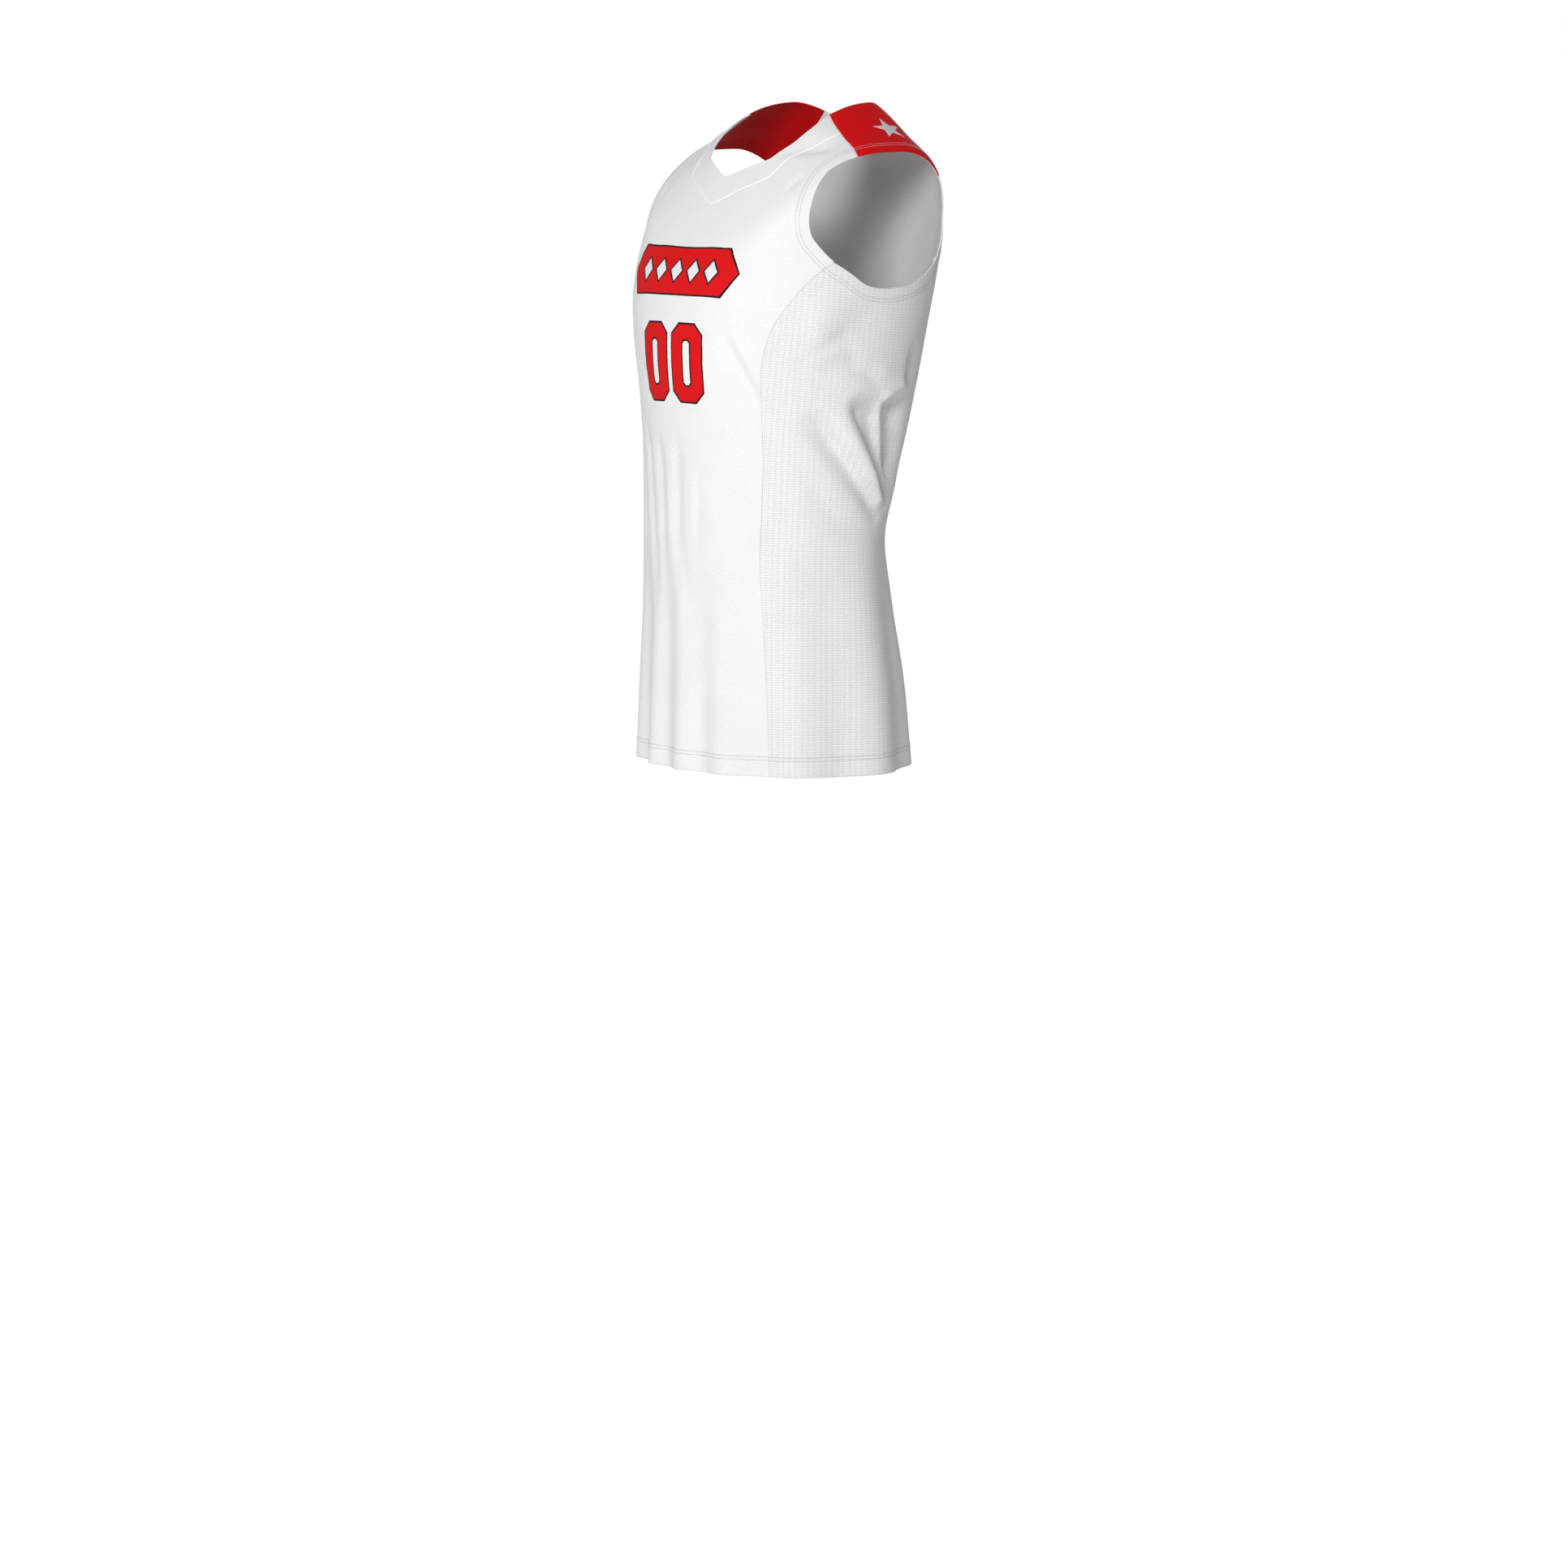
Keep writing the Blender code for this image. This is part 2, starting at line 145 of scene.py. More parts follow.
class Opening(NamedTuple):
    """How far the loose flutes have opened at a station."""

    station: float
    share: float


RINGS = (
    Ring(0.00, 0.06, 0.017, -0.096, 0.045, 0.038, 0.009, 0.032, 2.2, 2.2, 2.2),
    Ring(0.02, 0.08, 0.013, -0.12, 0.056, 0.028, -0.026, 0.014, 2.3, 2.4, 2.2),
    Ring(0.06, 0.12, 0.003, -0.155, 0.074, 0.002, -0.077, -0.026, 2.5, 2.7, 2.3),
    Ring(0.11, 0.165, -0.008, -0.19, 0.092, -0.029, -0.131, -0.082, 2.5, 3.0, 2.3),
    Ring(0.16, 0.18, -0.02, -0.2095, 0.097, -0.081, -0.176, -0.136, 2.3, 2.7, 2.2),
    Ring(0.21, 0.184, -0.034, -0.2185, 0.097, -0.139, -0.217, -0.184, 2.25, 2.4, 2.1),
    Ring(0.26, 0.182, -0.046, -0.2195, 0.094, -0.198, -0.258, -0.23, 2.15, 2.2, 2.0),
    Ring(0.32, 0.177, -0.055, -0.216, 0.087, -0.264, -0.304, -0.283, 2.05, 2.1, 2.0),
    Ring(0.40, 0.171, -0.061, -0.2125, 0.071, -0.346, -0.367, -0.355, 2.0, 2.0, 2.0),
    Ring(0.47, 0.167, -0.068, -0.2115, 0.051, -0.414, -0.427, -0.417, 2.0, 2.0, 2.0),
    Ring(0.53, 0.163, -0.075, -0.2115, 0.038, -0.469, -0.484, -0.464, 2.0, 2.0, 2.0),
    Ring(0.60, 0.167, -0.073, -0.209, 0.044, -0.538, -0.549, -0.532, 2.0, 2.0, 2.0),
    Ring(0.70, 0.177, -0.067, -0.21, 0.06, -0.641, -0.646, -0.638, 2.0, 2.0, 2.0),
    Ring(0.79, 0.182, -0.064, -0.212, 0.068, -0.736, -0.736, -0.736, 2.0, 2.0, 2.0),
)

# The large folds of the solids, some of them pressed sharper or with longer tails in the knit
FOLDS = (
    Crease(98, 0.350, 116, 0.468, -0.004, 0.008, 0.027, -0.023, 0.20, 0.45),
    Crease(92, 0.348, 112, 0.490, -0.002, 0.006, 0.006, 0.0012, 0.22, 0.20),
    Crease(90, 0.350, 110, 0.480, -0.003, 0.016, 0.010, -0.0085, 0.22, 0.30),
    Crease(79, 0.350, 109, 0.487, 0.000, 0.009, 0.024, -0.0125, 0.20, 0.20),
    Crease(72, 0.360, 105, 0.495, -0.001, 0.022, 0.015, 0.008, 0.35, 0.15),
    Crease(59, 0.350, 105, 0.507, -0.003, 0.014, 0.011, -0.0135, 0.38, 0.20),
    Crease(92, 0.265, 50, 0.325, 0.0, 0.028, 0.028, -0.004, 0.40, 0.40),
    Crease(148, 0.276, 143, 0.420, 0.0, 0.013, 0.022, -0.0078, 0.45, 0.48),
    Crease(22, 0.205, 52, 0.390, 0.004, 0.012, 0.016, -0.0022, 0.30, 0.30),
    Crease(1, 0.355, 2, 0.600, 0.0, 0.009, 0.012, -0.0028, 0.24, 0.45),
    Crease(-13, 0.360, -10, 0.585, 0.0, 0.010, 0.010, -0.0028, 0.26, 0.42),
    Crease(-27, 0.350, -19, 0.580, 0.0, 0.010, 0.010, -0.0028, 0.26, 0.42),
    Crease(-103, 0.328, -121, 0.486, 0.005, 0.023, 0.011, -0.017, 0.32, 0.60),
    Crease(-94, 0.335, -117, 0.500, 0.006, 0.010, 0.022, 0.006, 0.32, 0.42),
    Crease(-71, 0.354, -108, 0.510, 0.008, 0.017, 0.011, -0.010, 0.36, 0.34),
    Crease(-63, 0.352, -102, 0.515, 0.006, 0.010, 0.021, 0.006, 0.40, 0.32),
    Crease(-48, 0.342, -91, 0.518, 0.012, 0.018, 0.019, -0.006, 0.42, 0.34),
    Crease(-90, 0.268, -53, 0.335, 0.0, 0.026, 0.026, -0.004, 0.40, 0.40),
    Crease(165, 0.190, 139, 0.400, 0.006, 0.016, 0.018, -0.005, 0.35, 0.35),
    Crease(-160, 0.215, -135, 0.410, -0.008, 0.018, 0.015, -0.004, 0.35, 0.35),
    Crease(171, 0.365, 165.5, 0.600, 0.0, 0.012, 0.010, -0.0048, 0.24, 0.46),
    Crease(152, 0.395, 143.5, 0.590, 0.003, 0.011, 0.013, -0.0056, 0.23, 0.50),
    Crease(-166, 0.385, -162, 0.595, 0.0, 0.010, 0.013, -0.0052, 0.23, 0.48),
    Crease(-146, 0.400, -142, 0.585, 0.002, 0.013, 0.010, -0.0042, 0.23, 0.50),
)

# Softer creases that only the dressed jersey has
SOFT_CREASES = (
    Crease(36, 0.395, 63, 0.505, 0.003, 0.008, 0.011, -0.0016, 0.40, 0.25),
    Crease(111, 0.338, 94, 0.360, 0.0, 0.012, 0.006, 0.0040, 0.35, 0.25),
    Crease(111, 0.288, 109, 0.346, 0.0, 0.007, 0.018, -0.0055, 0.40, 0.30),
    Crease(23, 0.218, 48, 0.381, 0.002, 0.012, 0.006, -0.0024, 0.35, 0.30),
    Crease(26, 0.215, 52, 0.377, 0.003, 0.007, 0.016, 0.0040, 0.35, 0.30),
    Crease(60, 0.225, 68, 0.335, 0.0, 0.016, 0.034, 0.0042, 0.35, 0.35),
    Crease(61, 0.312, 94, 0.341, 0.006, 0.008, 0.012, -0.0036, 0.35, 0.25),
    Crease(78, 0.282, 58, 0.300, 0.0, 0.010, 0.012, -0.0020, 0.40, 0.40),
    Crease(31, 0.375, 47, 0.438, 0.0, 0.007, 0.010, -0.0014, 0.40, 0.40),
    Crease(70, 0.385, 89, 0.455, 0.0, 0.005, 0.007, -0.0015, 0.40, 0.40),
    Crease(-60, 0.380, -94, 0.488, 0.002, 0.010, 0.007, -0.0030, 0.35, 0.20),
    Crease(-63, 0.318, -92, 0.345, -0.005, 0.010, 0.008, -0.0022, 0.35, 0.25),
    Crease(30, 0.430, 45, 0.515, 0.001, 0.007, 0.009, 0.0010, 0.40, 0.30),
    Crease(14, 0.400, 16.5, 0.560, 0.0, 0.007, 0.009, -0.0014, 0.30, 0.45),
    Crease(-6, 0.425, -5, 0.520, 0.0, 0.006, 0.006, 0.0010, 0.40, 0.25),
    Crease(22, 0.445, 25, 0.520, 0.0, 0.007, 0.007, 0.0009, 0.40, 0.25),
    Crease(-36, 0.390, -32, 0.570, 0.002, 0.008, 0.008, -0.0015, 0.30, 0.45),
    Crease(27.5, 0.032, 60, 0.072, 0.0, 0.005, 0.011, -0.0035, 0.30, 0.25),
    Crease(37.5, 0.089, 48.5, 0.084, 0.0, 0.005, 0.006, -0.0016, 0.40, 0.40),
    Crease(42.5, 0.142, 49, 0.141, 0.0, 0.005, 0.006, -0.0008, 0.40, 0.40),
    Crease(-31, 0.040, -58, 0.073, 0.001, 0.007, 0.006, -0.0023, 0.35, 0.30),
    Crease(-36, 0.096, -48, 0.089, 0.0, 0.006, 0.005, -0.0012, 0.40, 0.40),
    Crease(46, 0.110, 34, 0.175, 0.003, 0.010, 0.012, -0.0010, 0.40, 0.40),
    Crease(-46, 0.112, -35, 0.168, -0.003, 0.012, 0.010, -0.0009, 0.40, 0.40),
    Crease(42, 0.190, 24, 0.245, 0.004, 0.010, 0.014, 0.0008, 0.40, 0.40),
    Crease(-38, 0.205, -14, 0.345, 0.0, 0.012, 0.012, -0.0010, 0.40, 0.35),
    Crease(58, 0.250, 76, 0.340, 0.003, 0.009, 0.011, 0.0009, 0.40, 0.40),
    Crease(70, 0.262, 84, 0.345, 0.002, 0.008, 0.010, -0.0011, 0.40, 0.40),
    Crease(88, 0.445, 112, 0.505, -0.002, 0.007, 0.010, -0.0022, 0.35, 0.30),
    Crease(60, 0.430, 83, 0.508, -0.003, 0.009, 0.011, -0.0015, 0.40, 0.25),
    Crease(-58, 0.255, -74, 0.345, 0.002, 0.010, 0.009, 0.0009, 0.40, 0.40),
    Crease(-62, 0.425, -84, 0.508, 0.002, 0.010, 0.009, -0.0014, 0.40, 0.25),
    Crease(-86, 0.450, -110, 0.505, 0.002, 0.010, 0.007, -0.0020, 0.35, 0.30),
    Crease(134, 0.180, 146, 0.285, -0.003, 0.012, 0.010, -0.0014, 0.40, 0.40),
    Crease(-136, 0.185, -147, 0.290, 0.003, 0.010, 0.012, -0.0013, 0.40, 0.40),
    Crease(158, 0.290, 177, 0.345, 0.004, 0.010, 0.013, -0.0014, 0.40, 0.40),
    Crease(-155, 0.300, -175, 0.360, -0.003, 0.012, 0.010, -0.0012, 0.40, 0.40),
    Crease(-178, 0.405, -176, 0.520, 0.0, 0.008, 0.007, 0.0012, 0.40, 0.25),
    Crease(160, 0.410, 157, 0.520, 0.0, 0.007, 0.008, 0.0014, 0.40, 0.25),
    Crease(-155, 0.415, -153, 0.520, 0.0, 0.008, 0.007, 0.0013, 0.40, 0.25),
    Crease(176, 0.030, 150, 0.090, 0.002, 0.014, 0.012, -0.0008, 0.40, 0.40),
    Crease(-174, 0.032, -149, 0.095, -0.002, 0.012, 0.014, -0.0008, 0.40, 0.40),
    Crease(5, 0.500, 8, 0.640, 0.002, 0.010, 0.012, -0.0016, 0.30, 0.45),
    Crease(-17, 0.500, -20, 0.625, -0.002, 0.012, 0.010, -0.0015, 0.30, 0.45),
    Crease(30, 0.500, 34, 0.615, 0.002, 0.011, 0.010, 0.0013, 0.30, 0.45),
    Crease(168, 0.500, 164, 0.630, 0.002, 0.010, 0.012, -0.0016, 0.30, 0.45),
    Crease(-150, 0.500, -152, 0.620, -0.002, 0.012, 0.010, -0.0015, 0.30, 0.45),
)

FLUTE_OPENING = (
    Opening(0.50, 0.0), Opening(0.54, 0.2), Opening(0.60, 0.6), Opening(0.70, 1.0),
    Opening(HEM_STATION, 1.4),
)

# Coarse steps along the edges of the panels. Edges that face each other in a panel have the same
ARMHOLE_STEPS = 8
BODICE_STEPS = 17
SKIRT_STEPS = 7
BAND_FRONT_STEPS = 5
BAND_SIDE_STEPS = 4
BAND_WIDTH_STEPS = 3
YOKE_OUTER_STEPS = 3
YOKE_LENGTH_STEPS = 8
BACK_NECK_STEPS = 5
UNDERARM_STEPS = 22
PANEL_DECAY = 4             # how fast the shape of a long panel's top edge dies away down the panel
SMALL_DECAY = 1             # the same for a short piece, shaped evenly from edge to edge


class CutLine(NamedTuple):
    """A cut line of the wearer's left half; the right half mirrors it.

    It has its coarse steps in a panel, which the panel's own fineness multiplies, and the finer
    ones for what is measured, stitched or overlocked along it.
    """

    coarse: int
    fine: int
    marks: tuple


NECK_FRONT = CutLine(BAND_FRONT_STEPS, 0, (Mark(0, 0.0385), Mark(12, 0.0335), Mark(24.5, 0.0360)))
NECK_SIDE = CutLine(BAND_SIDE_STEPS, 0, (
    Mark(24.5, 0.0360), Mark(35, 0.0320), Mark(42.5, 0.0282), Mark(52.5, 0.0206),
))
NECK_TOP = CutLine(YOKE_LENGTH_STEPS, 0, (
    Mark(52.5, 0.0206), Mark(64, 0.0166), Mark(81, 0.0125), Mark(99.5, 0.0105),
    Mark(114, 0.0125), Mark(127.5, 0.0165),
))
NECK_BACK = CutLine(BACK_NECK_STEPS, 0, (Mark(180, 0.0235), Mark(150, 0.0215), Mark(127.5, 0.0165)))
BAND_FRONT = CutLine(BAND_FRONT_STEPS, 60, (Mark(0, 0.0645), Mark(14, 0.0545), Mark(28.7, 0.0563)))
BAND_SIDE = CutLine(BAND_SIDE_STEPS, 60, (
    Mark(28.7, 0.0563), Mark(35.5, 0.0485), Mark(47.6, 0.0512), Mark(61.2, 0.0523),
))
YOKE_FRONT_INNER = CutLine(BAND_WIDTH_STEPS, 30, (Mark(52.5, 0.0206), Mark(61.2, 0.0523)))
YOKE_FRONT_OUTER = CutLine(YOKE_OUTER_STEPS, 40, (
    Mark(61.2, 0.0523), Mark(67.2, 0.0826), Mark(68.7, 0.0977),
))
YOKE_BACK = CutLine(BAND_WIDTH_STEPS + YOKE_OUTER_STEPS, 80, (
    Mark(127.5, 0.0165), Mark(121, 0.052), Mark(117, 0.083), Mark(114, 0.112),
))
ARMHOLE_TOP = CutLine(YOKE_LENGTH_STEPS, 100, (
    Mark(68.7, 0.0977), Mark(76.5, 0.0994), Mark(85, 0.1013), Mark(94, 0.1015),
    Mark(102, 0.1045), Mark(108, 0.108), Mark(114, 0.112),
))
ARMHOLE_FRONT = CutLine(ARMHOLE_STEPS, 160, (
    Mark(68.7, 0.0977), Mark(60.5, 0.0972), Mark(56.4, 0.0992), Mark(53.5, 0.1085),
    Mark(51.9, 0.125), Mark(52.1, 0.148), Mark(53.8, 0.1637), Mark(58.5, 0.184),
    Mark(64.7, 0.2048),
))
ARMHOLE_UNDER = CutLine(UNDERARM_STEPS, 120, (
    Mark(64.7, 0.2048), Mark(71.9, 0.2210), Mark(79.3, 0.2361), Mark(85.8, 0.2415),
    Mark(92, 0.2415), Mark(100, 0.236), Mark(108, 0.223), Mark(114, 0.206),
))
ARMHOLE_BACK = CutLine(ARMHOLE_STEPS, 90, (
    Mark(114, 0.112), Mark(117.5, 0.124), Mark(119.3, 0.145), Mark(119, 0.167),
    Mark(117, 0.188), Mark(114, 0.206),
))
SIDE_FRONT = CutLine(BODICE_STEPS, 180, (
    Mark(64.7, 0.2048), Mark(60.8, 0.2077), Mark(55.4, 0.2163), Mark(50.7, 0.2297),
    Mark(46.8, 0.2435), Mark(45, 0.258), Mark(43.9, 0.275), Mark(43.5, 0.305),
    Mark(44.4, 0.355), Mark(45.5, 0.396), Mark(46.8, 0.451), Mark(48.2, WAIST_STATION),
))
SIDE_BACK = CutLine(BODICE_STEPS, 180, (
    Mark(114, 0.206), Mark(119, 0.209), Mark(125, 0.219), Mark(131, 0.236), Mark(136, 0.262),
    Mark(138.5, 0.295), Mark(138, 0.33), Mark(134, 0.362), Mark(129, 0.39), Mark(126, 0.42),
    Mark(125, 0.46), Mark(125, WAIST_STATION),
))
SKIRT_FRONT = CutLine(SKIRT_STEPS, 100, (
    Mark(48.2, WAIST_STATION), Mark(48.5, 0.60), Mark(49, HEM_STATION),
))
SKIRT_BACK = CutLine(SKIRT_STEPS, 100, (
    Mark(125, WAIST_STATION), Mark(126, 0.60), Mark(127, HEM_STATION),
))
LOWER_EDGE_STEPS = 720      # fine steps round the whole lower edge


def hermite(at: Array, knots: Array, values: Array) -> Array:
    """Smooth curve through values at the knots.

    Args:
        at: Where the curve is read.
        knots: Rising positions of the values.
        values: One row of values for each knot.

    Returns:
        One row of values for each element of at.
    """
    gap = np.diff(knots)
    slope = np.diff(values, axis=0) / gap[:, None]
    share = (gap[1:] / (gap[:-1] + gap[1:]))[:, None]
    tangent = np.vstack([slope[:1], slope[:-1] * share + slope[1:] * (1 - share), slope[-1:]])
    k = np.clip(np.searchsorted(knots, at, side="right") - 1, 0, len(knots) - 2)
    step = gap[k][..., None]
    u = ((at - knots[k]) / gap[k])[..., None]
    start = (2 * u**3 - 3 * u**2 + 1) * values[k] + (u**3 - 2 * u**2 + u) * step * tangent[k]
    end = (3 * u**2 - 2 * u**3) * values[k + 1] + (u**3 - u**2) * step * tangent[k + 1]
    return start + end


def ease(x: Array) -> Array:
    """Rises smoothly from 0 at 0 to 1 at 1."""
    x = np.clip(x, 0, 1)
    return x * x * (3 - 2 * x)


def turned(deg: Array) -> Array:
    """An angle brought to within half a turn of zero."""
    return (deg + 180) % 360 - 180


def unit(vectors: Array) -> Array:
    """The vectors at length 1."""
    return vectors / np.maximum(np.linalg.norm(vectors, axis=-1, keepdims=True), 1e-12)


def dot(a: Array, b: Array) -> Array:
    """Row by row scalar product."""
    return (a * b).sum(-1)


def spin(angle: float) -> Array:
    """The matrix that turns flat points, one in a row, by an angle."""
    return np.array([[math.cos(angle), math.sin(angle)], [-math.sin(angle), math.cos(angle)]])


def travelled(points: Array) -> Array:
    """Distance along a line of points, from its start to each of them."""
    return np.concatenate([[0], np.cumsum(np.linalg.norm(np.diff(points, axis=0), axis=1))])


def spaced(points: Array, count: int) -> Array:
    """The line of points cut into count equal lengths.

    Args:
        points: A line of points.
        count: Number of lengths.

    Returns:
        One point more than there are lengths.
    """
    travel = travelled(points)
    wanted = np.linspace(0, travel[-1], count + 1)
    return np.stack([np.interp(wanted, travel, points[:, i]) for i in range(points.shape[1])], -1)


def divide(marks: tuple, steps: int) -> Array:
    """Steps equal lengths along the smooth curve through the marks, as (deg, station) rows.

    Args:
        marks: Marks that the curve passes through.
        steps: Number of lengths.

    Returns:
        Places from the first mark to the last.
    """
    points = np.array(marks, float) * CLOTH_SCALE
    if len(points) == 2:
        return spaced(points, steps) / CLOTH_SCALE
    knots = travelled(points)
    curve = hermite(np.linspace(0, knots[-1], CURVE_SAMPLES), knots, points)
    return spaced(curve, steps) / CLOTH_SCALE


def chain(*runs: Array) -> Array:
    """Runs of places joined end to end, without the doubled ones."""
    return np.vstack([runs[0]] + [run[1:] for run in runs[1:]])


def panel_edge(fineness: int, *lines: CutLine) -> Array:
    """An edge of a panel's grid: cut lines in a row, in their coarse steps times the fineness."""
    return chain(*(divide(line.marks, line.coarse * fineness) for line in lines))


def walked(*lines: CutLine) -> Array:
    """Cut lines in a row, in their fine steps."""
    return chain(*(divide(line.marks, line.fine) for line in lines))


def straight(start: Array, end: Array, steps: int) -> Array:
    """Equal steps from one (deg, station) place to another."""
    return start + np.linspace(0, 1, steps + 1)[:, None] * (end - start)


def on_side(places: Array, side: Side) -> Array:
    """The wearer's left places, or their mirror image on the right."""
    return places * np.array([side.value, 1])


def patch(top: Array, bottom: Array, first: Array, last: Array, decay: float) -> Array:
    """Fills the space between four edges: top and bottom run across, first and last run down.

    Rows are drawn straight from first to last, and the shapes of the top and bottom edges are
    added to them, dying away towards the middle.

    Args:
        top: Places along the top edge.
        bottom: Places along the bottom edge.
        first: Places down the edge where the top starts.
        last: Places down the edge where the top ends.
        decay: Power with which an edge's shape dies away.

    Returns:
        A grid of places, rows by columns by 2.
    """
    u = np.linspace(0, 1, len(top))[None, :, None]
    v = np.linspace(0, 1, len(first))[:, None, None]
    top_shape = top[None] - ((1 - u) * top[0] + u * top[-1])
    bottom_shape = bottom[None] - ((1 - u) * bottom[0] + u * bottom[-1])
    rows = (1 - u) * first[:, None] + u * last[:, None]
    return rows + (1 - v) ** decay * top_shape + v**decay * bottom_shape


def mirrored(grid: Array, axis_deg: float) -> Array:
    """The half grid with its mirror image across the centre line, as one grid.

    Args:
        grid: Places of the half, from the centre line outwards.
        axis_deg: Degrees of the centre line.

    Returns:
        Places of the whole, the mirrored half first.
    """
    other = grid[:, :0:-1].copy()
    other[..., 0] = 2 * axis_deg - other[..., 0]
    return np.concatenate([other, grid], axis=1)


@dataclass(frozen=True)
class BodyForm:
    """The worn shape that every panel is cut on: rings down the trunk, creases and flutes on top."""

    rings: tuple = RINGS
    creases: tuple = FOLDS + SOFT_CREASES
    flute_count: int = 13
    flute_depth: float = 3.5 * MM
    flute_drift: float = 1.3            # unevenness of the flutes' spacing, in radians
    flute_lead: float = 0.6             # where round the body that unevenness starts, in radians
    slope_deg: float = 0.4              # span over which the slope of the form is read
    slope_span: float = 2 * MM
    crease_deg: float = 0.25            # the same for the creased cloth, which turns faster
    crease_span: float = 0.8 * MM

    def smooth(self, places: Array) -> Array:
        """Points of the body form before any crease, one for each place.

        Args:
            places: (deg, station) rows, in any grid.

        Returns:
            Points in space, in the same grid.
        """
        deg, station = places[..., 0], np.clip(places[..., 1], 0, HEM_STATION)
        stations = np.array([ring.station for ring in self.rings])
        table = np.array([ring[1:] for ring in self.rings])
        values = np.moveaxis(hermite(station, stations, table), -1, 0)
        half_width, side_y, front_y, back_y, side_z, front_z, back_z, front_sq, back_sq, fall = values
        angle = np.radians(deg)
        across, along = np.abs(np.sin(angle)), np.cos(angle)
        in_front = along > 0
        depth = np.where(in_front, side_y - front_y, back_y - side_y)
        square = np.where(in_front, front_sq, back_sq)
        radius = ((across / half_width) ** square + (np.abs(along) / depth) ** square) ** (-1 / square)
        lean = (radius * np.abs(along) / depth) ** fall
        centre_z = np.where(in_front, front_z, back_z)
        height = side_z + (centre_z - side_z) * lean
        return np.stack([radius * np.sin(angle), side_y - radius * along, height], -1)

    def slopes(self, places: Array) -> tuple[Array, Array]:
        """How the smooth form moves for each degree and for each metre of station.

        Args:
            places: Where it is read.

        Returns:
            Two vectors in space for each place.
        """
        deg_step, station_step = np.array([self.slope_deg, 0]), np.array([0, self.slope_span])
        per_deg = self.smooth(places + deg_step) - self.smooth(places - deg_step)
        above, below = places - station_step, places + station_step
        gap = np.clip(below[..., 1], 0, HEM_STATION) - np.clip(above[..., 1], 0, HEM_STATION)
        per_station = (self.smooth(below) - self.smooth(above)) / gap[..., None]
        return per_deg / (2 * self.slope_deg), per_station

    def relief(self, places: Array) -> Array:
        """Height of the creases and flutes above the smooth form.

        Args:
            places: Where it is read.

        Returns:
            A height in metres for each place.
        """
        deg, station = places[..., 0], places[..., 1]
        height = np.zeros(deg.shape)
        for crease in self.creases:
            run_x = math.radians(crease.deg1 - crease.deg0) * MEAN_RADIUS
            run_y = crease.station1 - crease.station0
            length = math.hypot(run_x, run_y)
            x = np.radians(turned(deg - crease.deg0)) * MEAN_RADIUS
            y = station - crease.station0
            along = (x * run_x + y * run_y) / length**2
            inside = np.clip(along, 0, 1)
            off = (x * run_y - y * run_x) / length - crease.bow * 4 * inside * (1 - inside)
            reach = np.where(off < 0, crease.fore, crease.aft)
            swell = ease(along / crease.fade_in) * ease((1 - along) / crease.fade_out)
            height += crease.rise * swell * np.exp(-((off / reach) ** 2))
        angle = np.radians(turned(deg))
        wave = np.sin(self.flute_count * angle + self.flute_drift * np.sin(2 * angle + self.flute_lead))
        stations, shares = zip(*FLUTE_OPENING)
        return height + self.flute_depth * wave * np.interp(station, stations, shares)

    def cloth(self, places: Array) -> Array:
        """Points at the middle of the cloth, creases and flutes included.

        Args:
            places: Where it is read.

        Returns:
            A point in space for each place.
        """
        per_deg, per_station = self.slopes(places)
        out = unit(np.cross(per_station, per_deg))
        return self.smooth(places) + out * self.relief(places)[..., None]

    def surface(self, places: Array) -> tuple[Array, Array]:
        """Points at the middle of the cloth, and the way out from the creased cloth there.

        Args:
            places: Where it is read.

        Returns:
            A point in space and a unit vector for each place.
        """
        deg_step, station_step = np.array([self.crease_deg, 0]), np.array([0, self.crease_span])
        round_body = self.cloth(places + deg_step) - self.cloth(places - deg_step)
        down = self.cloth(places + station_step) - self.cloth(places - station_step)
        return self.cloth(places), unit(np.cross(down, round_body))

    def walk(self, places: Array, heading: Array, distance: float, steps: int = 6) -> Array:
        """Moves places over the form.

        Args:
            places: Where they start.
            heading: The way each one goes, as a vector in space.
            distance: How far each goes, in metres.
            steps: Number of short straight moves that make up the way.

        Returns:
            The places where they end.
        """
        here, way = places.copy(), heading.copy()
        for _ in range(steps):
            per_deg, per_station = self.slopes(here)
            out = unit(np.cross(per_station, per_deg))
            way = unit(way - out * dot(way, out)[..., None])
            a, b, c = dot(per_deg, per_deg), dot(per_deg, per_station), dot(per_station, per_station)
            p, q = dot(per_deg, way), dot(per_station, way)
            move = np.stack([c * p - b * q, a * q - b * p], -1) / (a * c - b * b)[..., None]
            here += move * distance / steps
        return here


class EdgeMeter:
    """Measures how far points lie from a set of edge lines, and how far along them."""

    def __init__(self, lines: list[Array], spacing: float = 0.25 * MM) -> None:
        """Sets up the measuring points.

        Args:
            lines: Lines of points in space.
            spacing: Distance between two measuring points on a line.
        """
        fine = [spaced(line, math.ceil(travelled(line)[-1] / spacing)) for line in lines]
        self.along = np.concatenate([travelled(line) for line in fine])
        self.tree = KDTree(len(self.along))
        for index, point in enumerate(np.vstack(fine)):
            self.tree.insert(point, index)
        self.tree.balance()

    def measure(self, points: Array) -> tuple[Array, Array]:
        """Distance of each point from the nearest line, and how far along that line it is.

        Args:
            points: Points in space.

        Returns:
            Both lengths for each point, in metres.
        """
        found = [self.tree.find(point)[1:] for point in points.reshape(-1, 3)]
        index, distance = (np.array(column) for column in zip(*found))
        return distance.reshape(points.shape[:-1]), self.along[index].reshape(points.shape[:-1])


class Skin(NamedTuple):
    """The two faces of the cloth at some places, and their distance from hems and seams."""

    middle: Array
    out: Array
    outer: Array
    inner: Array
    armhole: Array
    bottom: Array
    seam: Array


